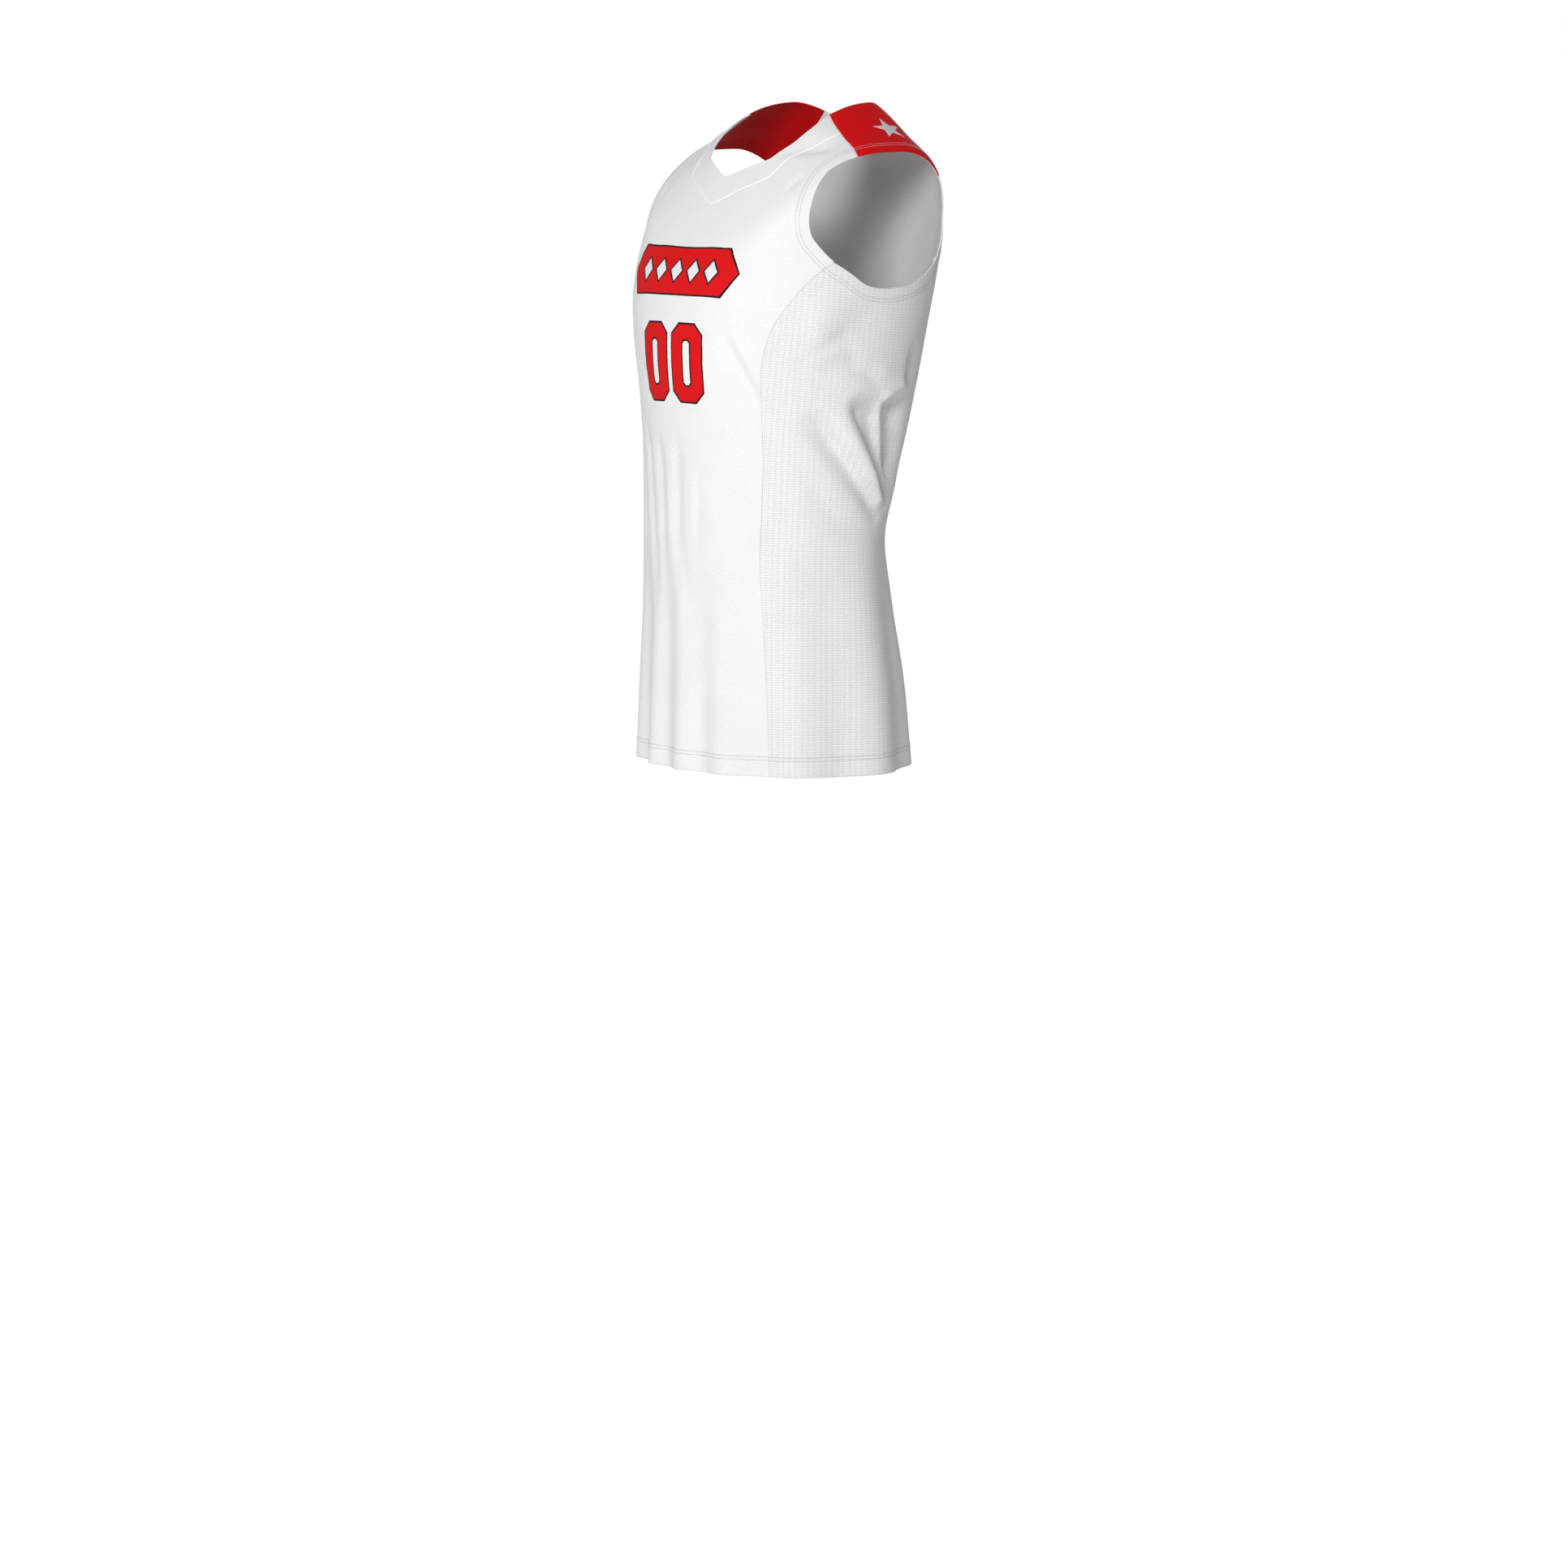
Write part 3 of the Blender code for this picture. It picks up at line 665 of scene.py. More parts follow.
@dataclass
class Pattern:
    """The sewn jersey as a surface: its edges, seams and hems, and how thick the cloth is at each."""

    form: BodyForm = field(default_factory=BodyForm)
    wall: float = 1.1 * MM
    armhole_band: float = 17.5 * MM         # turned hem round the armholes
    bottom_band: float = 26 * MM            # turned hem at the lower edge
    band_rise: float = 0.30 * MM            # how far the doubled cloth stands out
    band_drop: float = 0.45 * MM            # and how far inwards
    band_fade: float = 1.5 * MM
    pucker: float = 0.22 * MM               # small gathers that the needle leaves
    pucker_pitch: float = 11 * MM
    pucker_reach: float = 8 * MM
    pucker_drifts: tuple = (Wave(1.4, 0.31, 0.0), Wave(0.8, 0.127, 1.0))    # shift the gathers
    pucker_swell: Wave = Wave(0.45, 0.173, 2.0)     # makes them deeper and shallower
    seam_dip: float = 0.18 * MM             # how far the cloth rolls in at a seam
    seam_reach: float = 1.8 * MM
    armhole_rows: tuple = (11.5 * MM, 15.5 * MM)
    bottom_rows: tuple = (19.5 * MM, 23.5 * MM)
    edge_row: float = 1.8 * MM              # edge stitching beside a yoke seam

    def __post_init__(self) -> None:
        """Measures the edge lines once, for every piece to use."""
        self.armholes = EdgeMeter([self.form.cloth(self.armhole(side)) for side in Side])
        self.hem = EdgeMeter([self.form.cloth(self.lower_edge())])
        self.seams = EdgeMeter([self.form.cloth(line) for line in self.seam_lines().values()])

    def armhole(self, side: Side) -> Array:
        """The closed edge of one armhole, from the yoke's front seam down the front and round."""
        way_back = (walked(ARMHOLE_BACK)[::-1], walked(ARMHOLE_TOP)[::-1])
        return on_side(chain(walked(ARMHOLE_FRONT, ARMHOLE_UNDER), *way_back), side)

    @staticmethod
    def lower_edge() -> Array:
        """The closed lower edge of the jersey."""
        deg = np.linspace(-180, 180, LOWER_EDGE_STEPS + 1)
        return np.stack([deg, np.full(deg.shape, HEM_STATION)], -1)

    @staticmethod
    def seam_lines() -> dict[str, Array]:
        """Every seam by name, as lines of places.

        Returns:
            The lines by name.
        """
        band = walked(BAND_FRONT, BAND_SIDE)
        lines = {"neckband": chain(on_side(band[::-1], Side.RIGHT), band)}
        halves = {
            "side_front": walked(SIDE_FRONT, SKIRT_FRONT),
            "side_back": walked(SIDE_BACK, SKIRT_BACK),
            "yoke_front": walked(YOKE_FRONT_INNER, YOKE_FRONT_OUTER),
            "yoke_back": walked(YOKE_BACK),
        }
        for side in Side:
            for name, half in halves.items():
                lines[f"{name}_{side.word}"] = on_side(half, side)
        return lines

    def band(self, distance: Array, width: float) -> Array:
        """1 on a turned hem of that width, 0 beyond it."""
        return ease((width + self.band_fade - distance) / (2 * self.band_fade))

    def gathers(self, distance: Array, along: Array, centre: float) -> Array:
        """Height of the uneven gathers beside a stitched hem.

        Args:
            distance: How far in from the hem's edge.
            along: How far along that edge.
            centre: Distance at which they are deepest.

        Returns:
            Heights in metres.
        """
        phase = 2 * math.pi * along / self.pucker_pitch
        drift = sum(wave.at(phase) for wave in self.pucker_drifts)
        depth = self.pucker * (1 - self.pucker_swell.reach + self.pucker_swell.at(phase))
        fade = np.exp(-(((distance - centre) / self.pucker_reach) ** 2))
        return depth * np.sin(phase + drift) * fade

    def skin(self, places: Array) -> Skin:
        """The cloth at these places.

        Args:
            places: Where it is read.

        Returns:
            Its faces and distances there.
        """
        middle, out = self.form.surface(places)
        armhole, armhole_along = self.armholes.measure(middle)
        bottom, bottom_along = self.hem.measure(middle)
        seam, _ = self.seams.measure(middle)
        band = np.maximum(self.band(armhole, self.armhole_band), self.band(bottom, self.bottom_band))
        shift = self.gathers(armhole, armhole_along, self.armhole_rows[1])
        shift += self.gathers(bottom, bottom_along, self.bottom_rows[1])
        shift -= self.seam_dip * np.exp(-((seam / self.seam_reach) ** 2))
        outer = self.wall / 2 + self.band_rise * band + shift
        inner = self.wall / 2 + self.band_drop * band - shift
        return Skin(middle, out, outer, inner, armhole, bottom, seam)

    def on_face(self, places: Array, lift: float) -> tuple[Array, Array]:
        """Points that far above the outer face, and the way out there."""
        skin = self.skin(places)
        return skin.middle + skin.out * (skin.outer + lift)[..., None], skin.out

    def aside(self, line: Array, distance: float) -> Array:
        """A line of places moved over the cloth, to its right for one who walks it upright.

        Args:
            line: Places of the line.
            distance: How far it moves, in metres.

        Returns:
            Places of the moved line.
        """
        points = self.form.smooth(line)
        per_deg, per_station = self.form.slopes(line)
        out = unit(np.cross(per_station, per_deg))
        return self.form.walk(line, unit(np.cross(np.gradient(points, axis=0), out)), distance)


def linear(hex_colour: str) -> tuple[float, float, float, float]:
    """An sRGB hex colour as linear red, green, blue and alpha."""
    values = [int(hex_colour[i:i + 2], 16) / 255 for i in (1, 3, 5)]
    return (*(v / 12.92 if v <= 0.04045 else ((v + 0.055) / 1.055) ** 2.4 for v in values), 1.0)


def add_node(tree: bpy.types.NodeTree, kind: str, settings: dict) -> bpy.types.Node:
    """Adds a node.

    Args:
        tree: Where it goes.
        kind: Its Blender type.
        settings: Its properties by name and its inputs by name or number. An input has a value,
            the socket that feeds it, or the node whose first output feeds it.

    Returns:
        The new node.
    """
    node = tree.nodes.new(kind)
    for key, value in settings.items():
        if isinstance(value, bpy.types.Node):
            tree.links.new(value.outputs[0], node.inputs[key])
        elif isinstance(value, bpy.types.NodeSocket):
            tree.links.new(value, node.inputs[key])
        elif isinstance(key, str) and key in node.bl_rna.properties:
            setattr(node, key, value)
        else:
            node.inputs[key].default_value = value
    return node


def new_material(name: str, settings: dict) -> tuple[bpy.types.Material, bpy.types.Node]:
    """A node material and its Principled shader, with constants set on the shader's sockets.

    Args:
        name: Name of the material.
        settings: The constants by socket name.

    Returns:
        The material and its shader.
    """
    material = bpy.data.materials.new(name)
    material.use_nodes = True
    shader = material.node_tree.nodes["Principled BSDF"]
    for key, value in settings.items():
        shader.inputs[key].default_value = value
    return material, shader


def dress_shader(
    shader: bpy.types.Node, colour: Source | tuple, shade: Source, height: Source, relief: float,
    strength: float = 1.0,
) -> None:
    """Feeds a shader its colour and its relief.

    Args:
        shader: The shader.
        colour: Its linear colour.
        shade: What the colour is multiplied by.
        height: Height of the relief.
        relief: What a height of 1 stands for, in metres.
        strength: Share of the relief's slope that shows.
    """
    tree = shader.id_data
    tinted = add_node(tree, "ShaderNodeVectorMath", {"operation": "SCALE", 0: colour, 3: shade})
    tree.links.new(tinted.outputs[0], shader.inputs["Base Color"])
    bump = add_node(tree, "ShaderNodeBump", {"Strength": strength, "Distance": relief, "Height": height})
    tree.links.new(bump.outputs["Normal"], shader.inputs["Normal"])


def weighted_sum(tree: bpy.types.NodeTree, shares: list) -> bpy.types.Node:
    """The sum of sources, each times its own factor.

    Args:
        tree: Where the nodes go.
        shares: Pairs of a source and its factor.

    Returns:
        The node that gives the sum.
    """
    total = 0.0
    for source, factor in shares:
        total = add_node(
            tree, "ShaderNodeMath", {"operation": "MULTIPLY_ADD", 0: source, 1: factor, 2: total},
        )
    return total


def cosine_waves(tree: bpy.types.NodeTree, flat: Source, periods: tuple) -> list[bpy.types.Node]:
    """Waves over the flat cut, one for each axis and its period in millimetres.

    Args:
        tree: Where the nodes go.
        flat: The point on the flat cut.
        periods: Pairs of an axis and a period.

    Returns:
        A node for each wave, from -1 to 1.
    """
    split = add_node(tree, "ShaderNodeSeparateXYZ", {0: flat})
    waves = []
    for axis, period_mm in periods:
        turns = add_node(tree, "ShaderNodeMath", {
            "operation": "MULTIPLY", 0: split.outputs[axis], 1: 2 * math.pi / (period_mm * MM),
        })
        waves.append(add_node(tree, "ShaderNodeMath", {"operation": "COSINE", 0: turns}))
    return waves


@dataclass(frozen=True)
class KnitFinish:
    """Knitted polyester: rows of small hollows between the loops, soft sheen and mottled dye, with shade
    painted into the hollows, the stitch grooves and the inside face.
    """

    name: str
    yarn: str                       # sRGB hex of the loops
    hollow: str                     # sRGB hex down between them: painted shade of the hollows
    across_mm: float                # from one column of hollows to the next
    down_mm: float                  # from one row of hollows to the next
    depth_mm: float
    hollow_share: float             # how much of the hollows' painted shade shows
    mottle: float = 0.03            # share by which the shade drifts over the cloth
    drift_scale: float = 22.0       # clouds of that drift in a metre
    roughness: float = 0.86
    sheen: float = 0.12
    sheen_roughness: float = 0.45
    specular: float = 0.25
    speckle: float = 0.62           # how much the fuzz of the yarn lightens and darkens it
    rib: float = 0.0                # how much every third column of hollows sinks deeper and takes more painted shade
    grain_mm: float = 1.1           # size of the fuzz, drawn coarser than its 0.2 mm so that it shows
    grain_depth_mm: float = 0.05
    wobble_mm: float = 1.4          # how far the rows and columns stray
    wobble_scale: float = 160.0     # turns of that straying in a metre
    groove_shade: float = 0.11      # painted shade: how much darker the groove under a row of stitches is drawn
    groove_depth_mm: float = 0.16
    row_reach_mm: float = 0.9       # half the width of that groove
    seam_reach_mm: float = 1.1      # and of the one in the line of a seam
    seam_share: float = 0.3         # depth and painted shade of the seam's groove, against those of the rows
    reverse_shade: float = 0.22     # painted shade: how much darker the inside face is drawn
    rows_mm: tuple = ()             # stitch rows, from the armhole edge
    bottom_rows_mm: tuple = ()      # and from the lower edge

    def make(self) -> bpy.types.Material:
        """Builds the material.

        Returns:
            The material.
        """
        material, shader = new_material(self.name, {
            "Roughness": self.roughness,
            "Sheen Weight": self.sheen,
            "Sheen Roughness": self.sheen_roughness,
            "Sheen Tint": linear("#FFFFFF"),
            "Specular IOR Level": self.specular,
        })
        tree = material.node_tree
        flat = add_node(tree, "ShaderNodeUVMap", {"uv_map": GRAIN_MAP})
        hollows = self.hollows(tree, flat)
        grooves = self.grooves(tree)
        fuzz = add_node(tree, "ShaderNodeTexNoise", {
            "Scale": 1 / (self.grain_mm * MM), "Detail": 2.0, "Roughness": 0.6, "Vector": flat,
        })
        drift = add_node(
            tree, "ShaderNodeTexNoise", {"Scale": self.drift_scale, "Detail": 3.0, "Vector": flat},
        )
        full = 1 - self.speckle / 2         # the fuzz adds half of its speckle on average
        shade = add_node(
            tree, "ShaderNodeMapRange", {0: drift, **NOISE_SPAN, 3: full - self.mottle, 4: full},
        )
        reverse = add_node(tree, "ShaderNodeAttribute", {"attribute_name": "reverse"}).outputs["Fac"]
        # painted shade: the colour is darkened in the grooves of rows and seams and on the inside face
        lit = weighted_sum(tree, [
            (shade, 1.0), (fuzz, self.speckle), (grooves, -self.groove_shade),
            (reverse, -self.reverse_shade),
        ])
        colour = add_node(tree, "ShaderNodeMix", {
            "data_type": "RGBA", 0: weighted_sum(tree, [(hollows, self.hollow_share)]),
            6: linear(self.yarn), 7: linear(self.hollow),
        }).outputs[2]
        height = weighted_sum(tree, [
            (hollows, -self.depth_mm), (fuzz, self.grain_depth_mm), (grooves, -self.groove_depth_mm),
        ])
        dress_shader(shader, colour, lit, height, MM)
        return material

    def hollows(self, tree: bpy.types.NodeTree, flat: Source) -> bpy.types.Node:
        """1 in the hollows between the loops, which stand in rows and columns, and 0 on the loops.

        Args:
            tree: Where the nodes go.
            flat: The point on the flat cut.

        Returns:
            The node that gives it.
        """
        wobble = add_node(
            tree, "ShaderNodeTexNoise", {"Scale": self.wobble_scale, "Detail": 1.0, "Vector": flat},
        ).outputs["Color"]
        moved = add_node(tree, "ShaderNodeVectorMath", {
            "operation": "MULTIPLY_ADD", 0: wobble, 1: (self.wobble_mm * MM,) * 3, 2: flat,
        })
        periods = (("X", self.across_mm), ("Y", self.down_mm), ("X", 3 * self.across_mm))
        columns, rows, ribs = (
            add_node(tree, "ShaderNodeMath", {"operation": "MULTIPLY_ADD", 0: wave, 1: 0.5, 2: 0.5})
            for wave in cosine_waves(tree, moved, periods)
        )
        both = add_node(tree, "ShaderNodeMath", {"operation": "MULTIPLY", 0: columns, 1: rows})
        return weighted_sum(tree, [(both, 1.0), (ribs, self.rib)])

    def grooves(self, tree: bpy.types.NodeTree) -> bpy.types.Node:
        """1 under a row of stitches and, more faintly, in the line of a seam, where the cloth sinks and
        shade is painted.

        Args:
            tree: Where the nodes go.

        Returns:
            The node that gives it.
        """
        lines = [("seam_m", 0.0, self.seam_reach_mm, self.seam_share)]
        lines += [("armhole_m", row, self.row_reach_mm, 1.0) for row in self.rows_mm]
        lines += [("hem_m", row, self.row_reach_mm, 1.0) for row in self.bottom_rows_mm]
        deepest = 0.0
        for attribute, row_mm, reach_mm, share in lines:
            distance = add_node(tree, "ShaderNodeAttribute", {"attribute_name": attribute})
            off = add_node(tree, "ShaderNodeMath", {
                "operation": "SUBTRACT", 0: distance.outputs["Fac"], 1: row_mm * MM,
            })
            side = add_node(tree, "ShaderNodeMath", {"operation": "ABSOLUTE", 0: off})
            line = add_node(tree, "ShaderNodeMapRange", {
                "interpolation_type": "SMOOTHSTEP", 0: side, 1: 0.0, 2: reach_mm * MM, 3: share, 4: 0.0,
            })
            deepest = add_node(tree, "ShaderNodeMath", {"operation": "MAXIMUM", 0: deepest, 1: line})
        return deepest


@dataclass(frozen=True)
class ThreadFinish:
    """Spun polyester sewing thread: matt, twisted, a little uneven in shade."""

    name: str
    colour: str
    mottle: float = 0.12
    roughness: float = 0.7
    sheen: float = 0.2
    sheen_roughness: float = 0.4
    twist_mm: float = 0.9           # turns of the twist, drawn coarser than its 0.4 mm so that they show
    twist_depth_mm: float = 0.1
    twist_strength: float = 0.6

    def make(self) -> bpy.types.Material:
        """Builds the material.

        Returns:
            The material.
        """
        material, shader = new_material(self.name, {
            "Roughness": self.roughness, "Sheen Weight": self.sheen,
            "Sheen Roughness": self.sheen_roughness,
        })
        tree = material.node_tree
        place = add_node(tree, "ShaderNodeTexCoord", {}).outputs["Object"]
        twist = add_node(
            tree, "ShaderNodeTexNoise", {"Scale": 1 / (self.twist_mm * MM), "Detail": 1.0, "Vector": place},
        )
        shade = add_node(tree, "ShaderNodeMapRange", {0: twist, **NOISE_SPAN, 3: 1 - self.mottle, 4: 1.0})
        colour = linear(self.colour)[:3]
        dress_shader(shader, colour, shade, twist, self.twist_depth_mm * MM, self.twist_strength)
        return material


@dataclass(frozen=True)
class InkFinish:
    """Heat-pressed film on knit: smoother than the cloth, with the loops just showing through."""

    name: str
    colour: str
    mottle: float = 0.1
    speck_scale: float = 900.0      # specks of the film's face in a metre
    roughness: float = 0.55
    specular: float = 0.15
    across_mm: float = 2.6
    down_mm: float = 2.9
    depth_mm: float = 0.05

    def make(self) -> bpy.types.Material:
        """Builds the material.

        Returns:
            The material.
        """
        material, shader = new_material(self.name, {
            "Roughness": self.roughness, "Specular IOR Level": self.specular,
        })
        tree = material.node_tree
        flat = add_node(tree, "ShaderNodeUVMap", {"uv_map": GRAIN_MAP})
        columns, rows = cosine_waves(tree, flat, (("X", self.across_mm), ("Y", self.down_mm)))
        loops = add_node(tree, "ShaderNodeMath", {"operation": "MULTIPLY", 0: columns, 1: rows})
        specks = add_node(
            tree, "ShaderNodeTexNoise", {"Scale": self.speck_scale, "Detail": 2.0, "Vector": flat},
        )
        shade = add_node(tree, "ShaderNodeMapRange", {0: specks, **NOISE_SPAN, 3: 1 - self.mottle, 4: 1.0})
        dress_shader(shader, linear(self.colour)[:3], shade, loops, self.depth_mm * MM)
        return material


class Finishes:
    """Every finish of the jersey, made once."""

    def __init__(self, pattern: Pattern) -> None:
        """Makes the materials, with the stitch rows where the pattern has them.

        Args:
            pattern: What the jersey is cut to.
        """
        rows = tuple(row / MM for row in pattern.armhole_rows)
        bottom = tuple(row / MM for row in pattern.bottom_rows)
        hems = {"rows_mm": rows, "bottom_rows_mm": bottom}
        # White birdseye knit, warp-knitted: a faint grain of tiny hollows with painted shade, and a soft
        # matt face
        self.white_knit = KnitFinish(
            "white_birdseye_knit", "#F1F1F2", "#A4A7AD", 2.4, 2.85, 0.02, 0.11, **hems,
        ).make()
        # White eyelet mesh: open hollows in rows and columns, painted grey as their shade, that read as a
        # fine grey waffle
        self.white_mesh = KnitFinish(
            "white_eyelet_mesh", "#F4F4F5", "#94979D", 2.4, 2.85, 0.07, 0.42, speckle=0.95, rib=0.2,
            **hems,
        ).make()
        # Red dyed knit: deep red with a pale bloom at grazing angles, and painted shade in its hollows
        self.red_knit = KnitFinish(
            "red_dyed_knit", "#DE080E", "#A8060B", 2.4, 2.85, 0.06, 0.40, specular=0.12,
            sheen=0.06, sheen_roughness=0.35, **hems,
        ).make()
        # Turned edge of the neckband: smooth white rib, whiter than the cloth as a painted highlight, so
        # that it shows as a thin bright line
        self.white_edge = KnitFinish(
            "white_turned_rib", "#FFFFFF", "#E6E7E9", 1.3, 1.3, 0.03, 0.3, mottle=0.01, speckle=0.1,
        ).make()
        # Spun thread, drawn off-white as painted shade of the stitch line, so that a row reads as a thin
        # grey line on white and pale on red
        self.thread = ThreadFinish("spun_polyester_thread", "#C9CACE").make()
        self.red_film = InkFinish("red_pressed_film", "#E00C12").make()
        self.black_film = InkFinish("black_pressed_film", "#141416").make()
        self.white_film = InkFinish("white_pressed_film", "#F0F0F2").make()
        # The star's white film, drawn pale grey as painted shade
        self.grey_film = InkFinish("pale_grey_pressed_film", "#D9DADD").make()


def link_mesh(
    name: str, vertices: Array, faces: list, material: bpy.types.Material, flat: Array | None = None,
) -> bpy.types.Object:
    """A smooth-shaded mesh object.

    Args:
        name: Its name.
        vertices: Points in space, one row each.
        faces: Corner numbers of each face.
        material: Its finish.
        flat: Where each vertex lies on the flat cut, in metres.

    Returns:
        The object, linked to the scene.
    """
    mesh = bpy.data.meshes.new(name)
    mesh.from_pydata(vertices, [], faces)
    mesh.materials.append(material)
    mesh.shade_smooth()
    if flat is not None:
        layer = mesh.uv_layers.new(name=GRAIN_MAP)
        corners = np.zeros(len(mesh.loops), np.int32)
        mesh.loops.foreach_get("vertex_index", corners)
        layer.data.foreach_set("uv", np.ascontiguousarray(flat[corners], np.float32).ravel())
    piece = bpy.data.objects.new(name, mesh)
    bpy.context.scene.collection.objects.link(piece)
    return piece


class FlatCut:
    """A panel laid flat on the cutting table, with the grain upright, in metres."""

    def __init__(self, places: Array, points: Array, coarse: int) -> None:
        """Lays the panel flat.

        Args:
            places: The panel's grid of places.
            points: The same grid in space.
            coarse: Every how many rows and columns the cut is worked out; the rest lie between.
        """
        self.places = places
        thin = points[::coarse, ::coarse]
        rough = self.unwrapped(thin)
        middle = thin.shape[1] // 2
        spine = rough[0, middle] - rough[-1, middle]
        upright = spin(math.pi / 2 - math.atan2(spine[1], spine[0]))
        rough = (rough - rough[0, middle]) @ upright
        rough *= math.sqrt(self.area_of(thin) / self.area_of(rough))
        rough = self.relaxed(rough, thin)
        rough -= rough[0, middle]
        self.area = self.area_of(rough)
        self.width, self.length = np.ptp(rough.reshape(-1, 2), axis=0)
        rows, columns = places.shape[:2]
        self.flat = self.between(
            rough, *np.meshgrid(np.arange(rows) / coarse, np.arange(columns) / coarse, indexing="ij")
        )

    @staticmethod
    def area_of(grid: Array) -> float:
        """Area of a grid of points, flat or in space.

        Args:
            grid: Points, rows by columns by 2 or 3.

        Returns:
            The area, in the grid's own unit squared.
        """
        one, other = grid[1:, 1:] - grid[:-1, :-1], grid[1:, :-1] - grid[:-1, 1:]
        if grid.shape[-1] == 2:
            return float(np.abs(one[..., 0] * other[..., 1] - one[..., 1] * other[..., 0]).sum() / 2)
        return float(np.linalg.norm(np.cross(one, other), axis=-1).sum() / 2)

    @staticmethod
    def unwrapped(points: Array) -> Array:
        """The grid flattened by Blender's unwrap, at any size and turn.

        Args:
            points: Rows by columns of points in space.

        Returns:
            Rows by columns of flat points.
        """
        rows, columns = points.shape[:2]
        index = np.arange(rows * columns).reshape(rows, columns)
        quads = np.stack([index[:-1, :-1], index[1:, :-1], index[1:, 1:], index[:-1, 1:]], -1)
        mesh = bpy.data.meshes.new("flat_cut")
        mesh.from_pydata(points.reshape(-1, 3), [], quads.reshape(-1, 4).tolist())
        mesh.uv_layers.new(name=GRAIN_MAP)
        sheet = bpy.data.objects.new("flat_cut", mesh)
        bpy.context.scene.collection.objects.link(sheet)
        bpy.context.view_layer.objects.active = sheet
        sheet.select_set(True)
        bpy.ops.object.mode_set(mode="EDIT")
        bpy.ops.mesh.select_all(action="SELECT")
        bpy.ops.uv.unwrap(method="CONFORMAL", margin=0.0)
        bpy.ops.object.mode_set(mode="OBJECT")
        corners = np.zeros(len(mesh.loops), np.int32)
        mesh.loops.foreach_get("vertex_index", corners)
        values = np.zeros(len(corners) * 2, np.float32)
        mesh.uv_layers[0].data.foreach_get("uv", values)
        flat = np.zeros((rows * columns, 2))
        flat[corners] = values.reshape(-1, 2)
        bpy.data.objects.remove(sheet)
        bpy.data.meshes.remove(mesh)
        return flat.reshape(rows, columns, 2)

    @staticmethod
    def relaxed(flat: Array, worn: Array, passes: int = 400, drag: float = 0.9) -> Array:
        """Evens out the stretch, so that lengths on the cut are the lengths of the worn cloth.

        Args:
            flat: A first flat form of the grid.
            worn: The grid in space.
            passes: How many times every short length is corrected.
            drag: Share of the last move that is kept, which speeds up the long waves.

        Returns:
            The flat form at rest.
        """
        whole, front, back = slice(None), slice(0, -1), slice(1, None)
        pairs = (
            ((front, whole), (back, whole)), ((whole, front), (whole, back)),
            ((front, front), (back, back)), ((front, back), (back, front)),
        )
        rests = [np.linalg.norm(worn[b] - worn[a], axis=-1, keepdims=True) for a, b in pairs]
        move, shares = np.zeros(flat.shape), np.zeros((*flat.shape[:2], 1))
        for a, b in pairs:
            shares[a] += 1
            shares[b] += 1
        for _ in range(passes):
            push = np.zeros(flat.shape)
            for (a, b), rest in zip(pairs, rests):
                gap = flat[b] - flat[a]
                pull = gap * (1 - rest / np.linalg.norm(gap, axis=-1, keepdims=True)) / 2
                push[a] += pull
                push[b] -= pull
            move = move * drag + push / shares
            flat = flat + move
        return flat

    @staticmethod
    def between(grid: Array, row: Array, column: Array) -> Array:
        """The grid read at rows and columns that may lie between its own.

        Args:
            grid: Values at whole rows and columns.
            row: Rows to read at.
            column: Columns to read at.

        Returns:
            A value for each row and its column.
        """
        r = np.clip(np.floor(row).astype(int), 0, grid.shape[0] - 2)
        c = np.clip(np.floor(column).astype(int), 0, grid.shape[1] - 2)
        u, v = (row - r)[..., None], (column - c)[..., None]
        top = grid[r, c] * (1 - v) + grid[r, c + 1] * v
        bottom = grid[r + 1, c] * (1 - v) + grid[r + 1, c + 1] * v
        return top * (1 - u) + bottom * u

    def find(self, grid: Array, targets: Array, stride: int = 6, passes: int = 12) -> tuple[Array, Array]:
        """Where the grid has the targets.

        Args:
            grid: Flat points, rows by columns by 2.
            targets: Flat points to be found.
            stride: Every how many rows and columns the first guess is looked for.
            passes: How many times the guess is made better.

        Returns:
            Row and column of each target, fractions included.
        """
        rough = grid[::stride, ::stride].reshape(-1, 2)
        wide = len(grid[0, ::stride])
        scale = np.ptp(rough, axis=0)
        nearest = np.array([np.argmin((((rough - t) / scale) ** 2).sum(1)) for t in targets])
        row, column = ((part * stride).astype(float) for part in (nearest // wide, nearest % wide))
        for _ in range(passes):
            down = self.between(grid, row + 0.5, column) - self.between(grid, row - 0.5, column)
            over = self.between(grid, row, column + 0.5) - self.between(grid, row, column - 0.5)
            miss = targets - self.between(grid, row, column)
            span = down[:, 0] * over[:, 1] - down[:, 1] * over[:, 0]
            row = row + (miss[:, 0] * over[:, 1] - miss[:, 1] * over[:, 0]) / span
            column = column + (down[:, 0] * miss[:, 1] - down[:, 1] * miss[:, 0]) / span
            row, column = np.clip(row, 0, len(grid) - 1), np.clip(column, 0, len(grid[0]) - 1)
        return row, column

    def worn(self, spots: Array) -> Array:
        """Where spots on the flat cut lie on the form."""
        return self.between(self.places, *self.find(self.flat, spots))


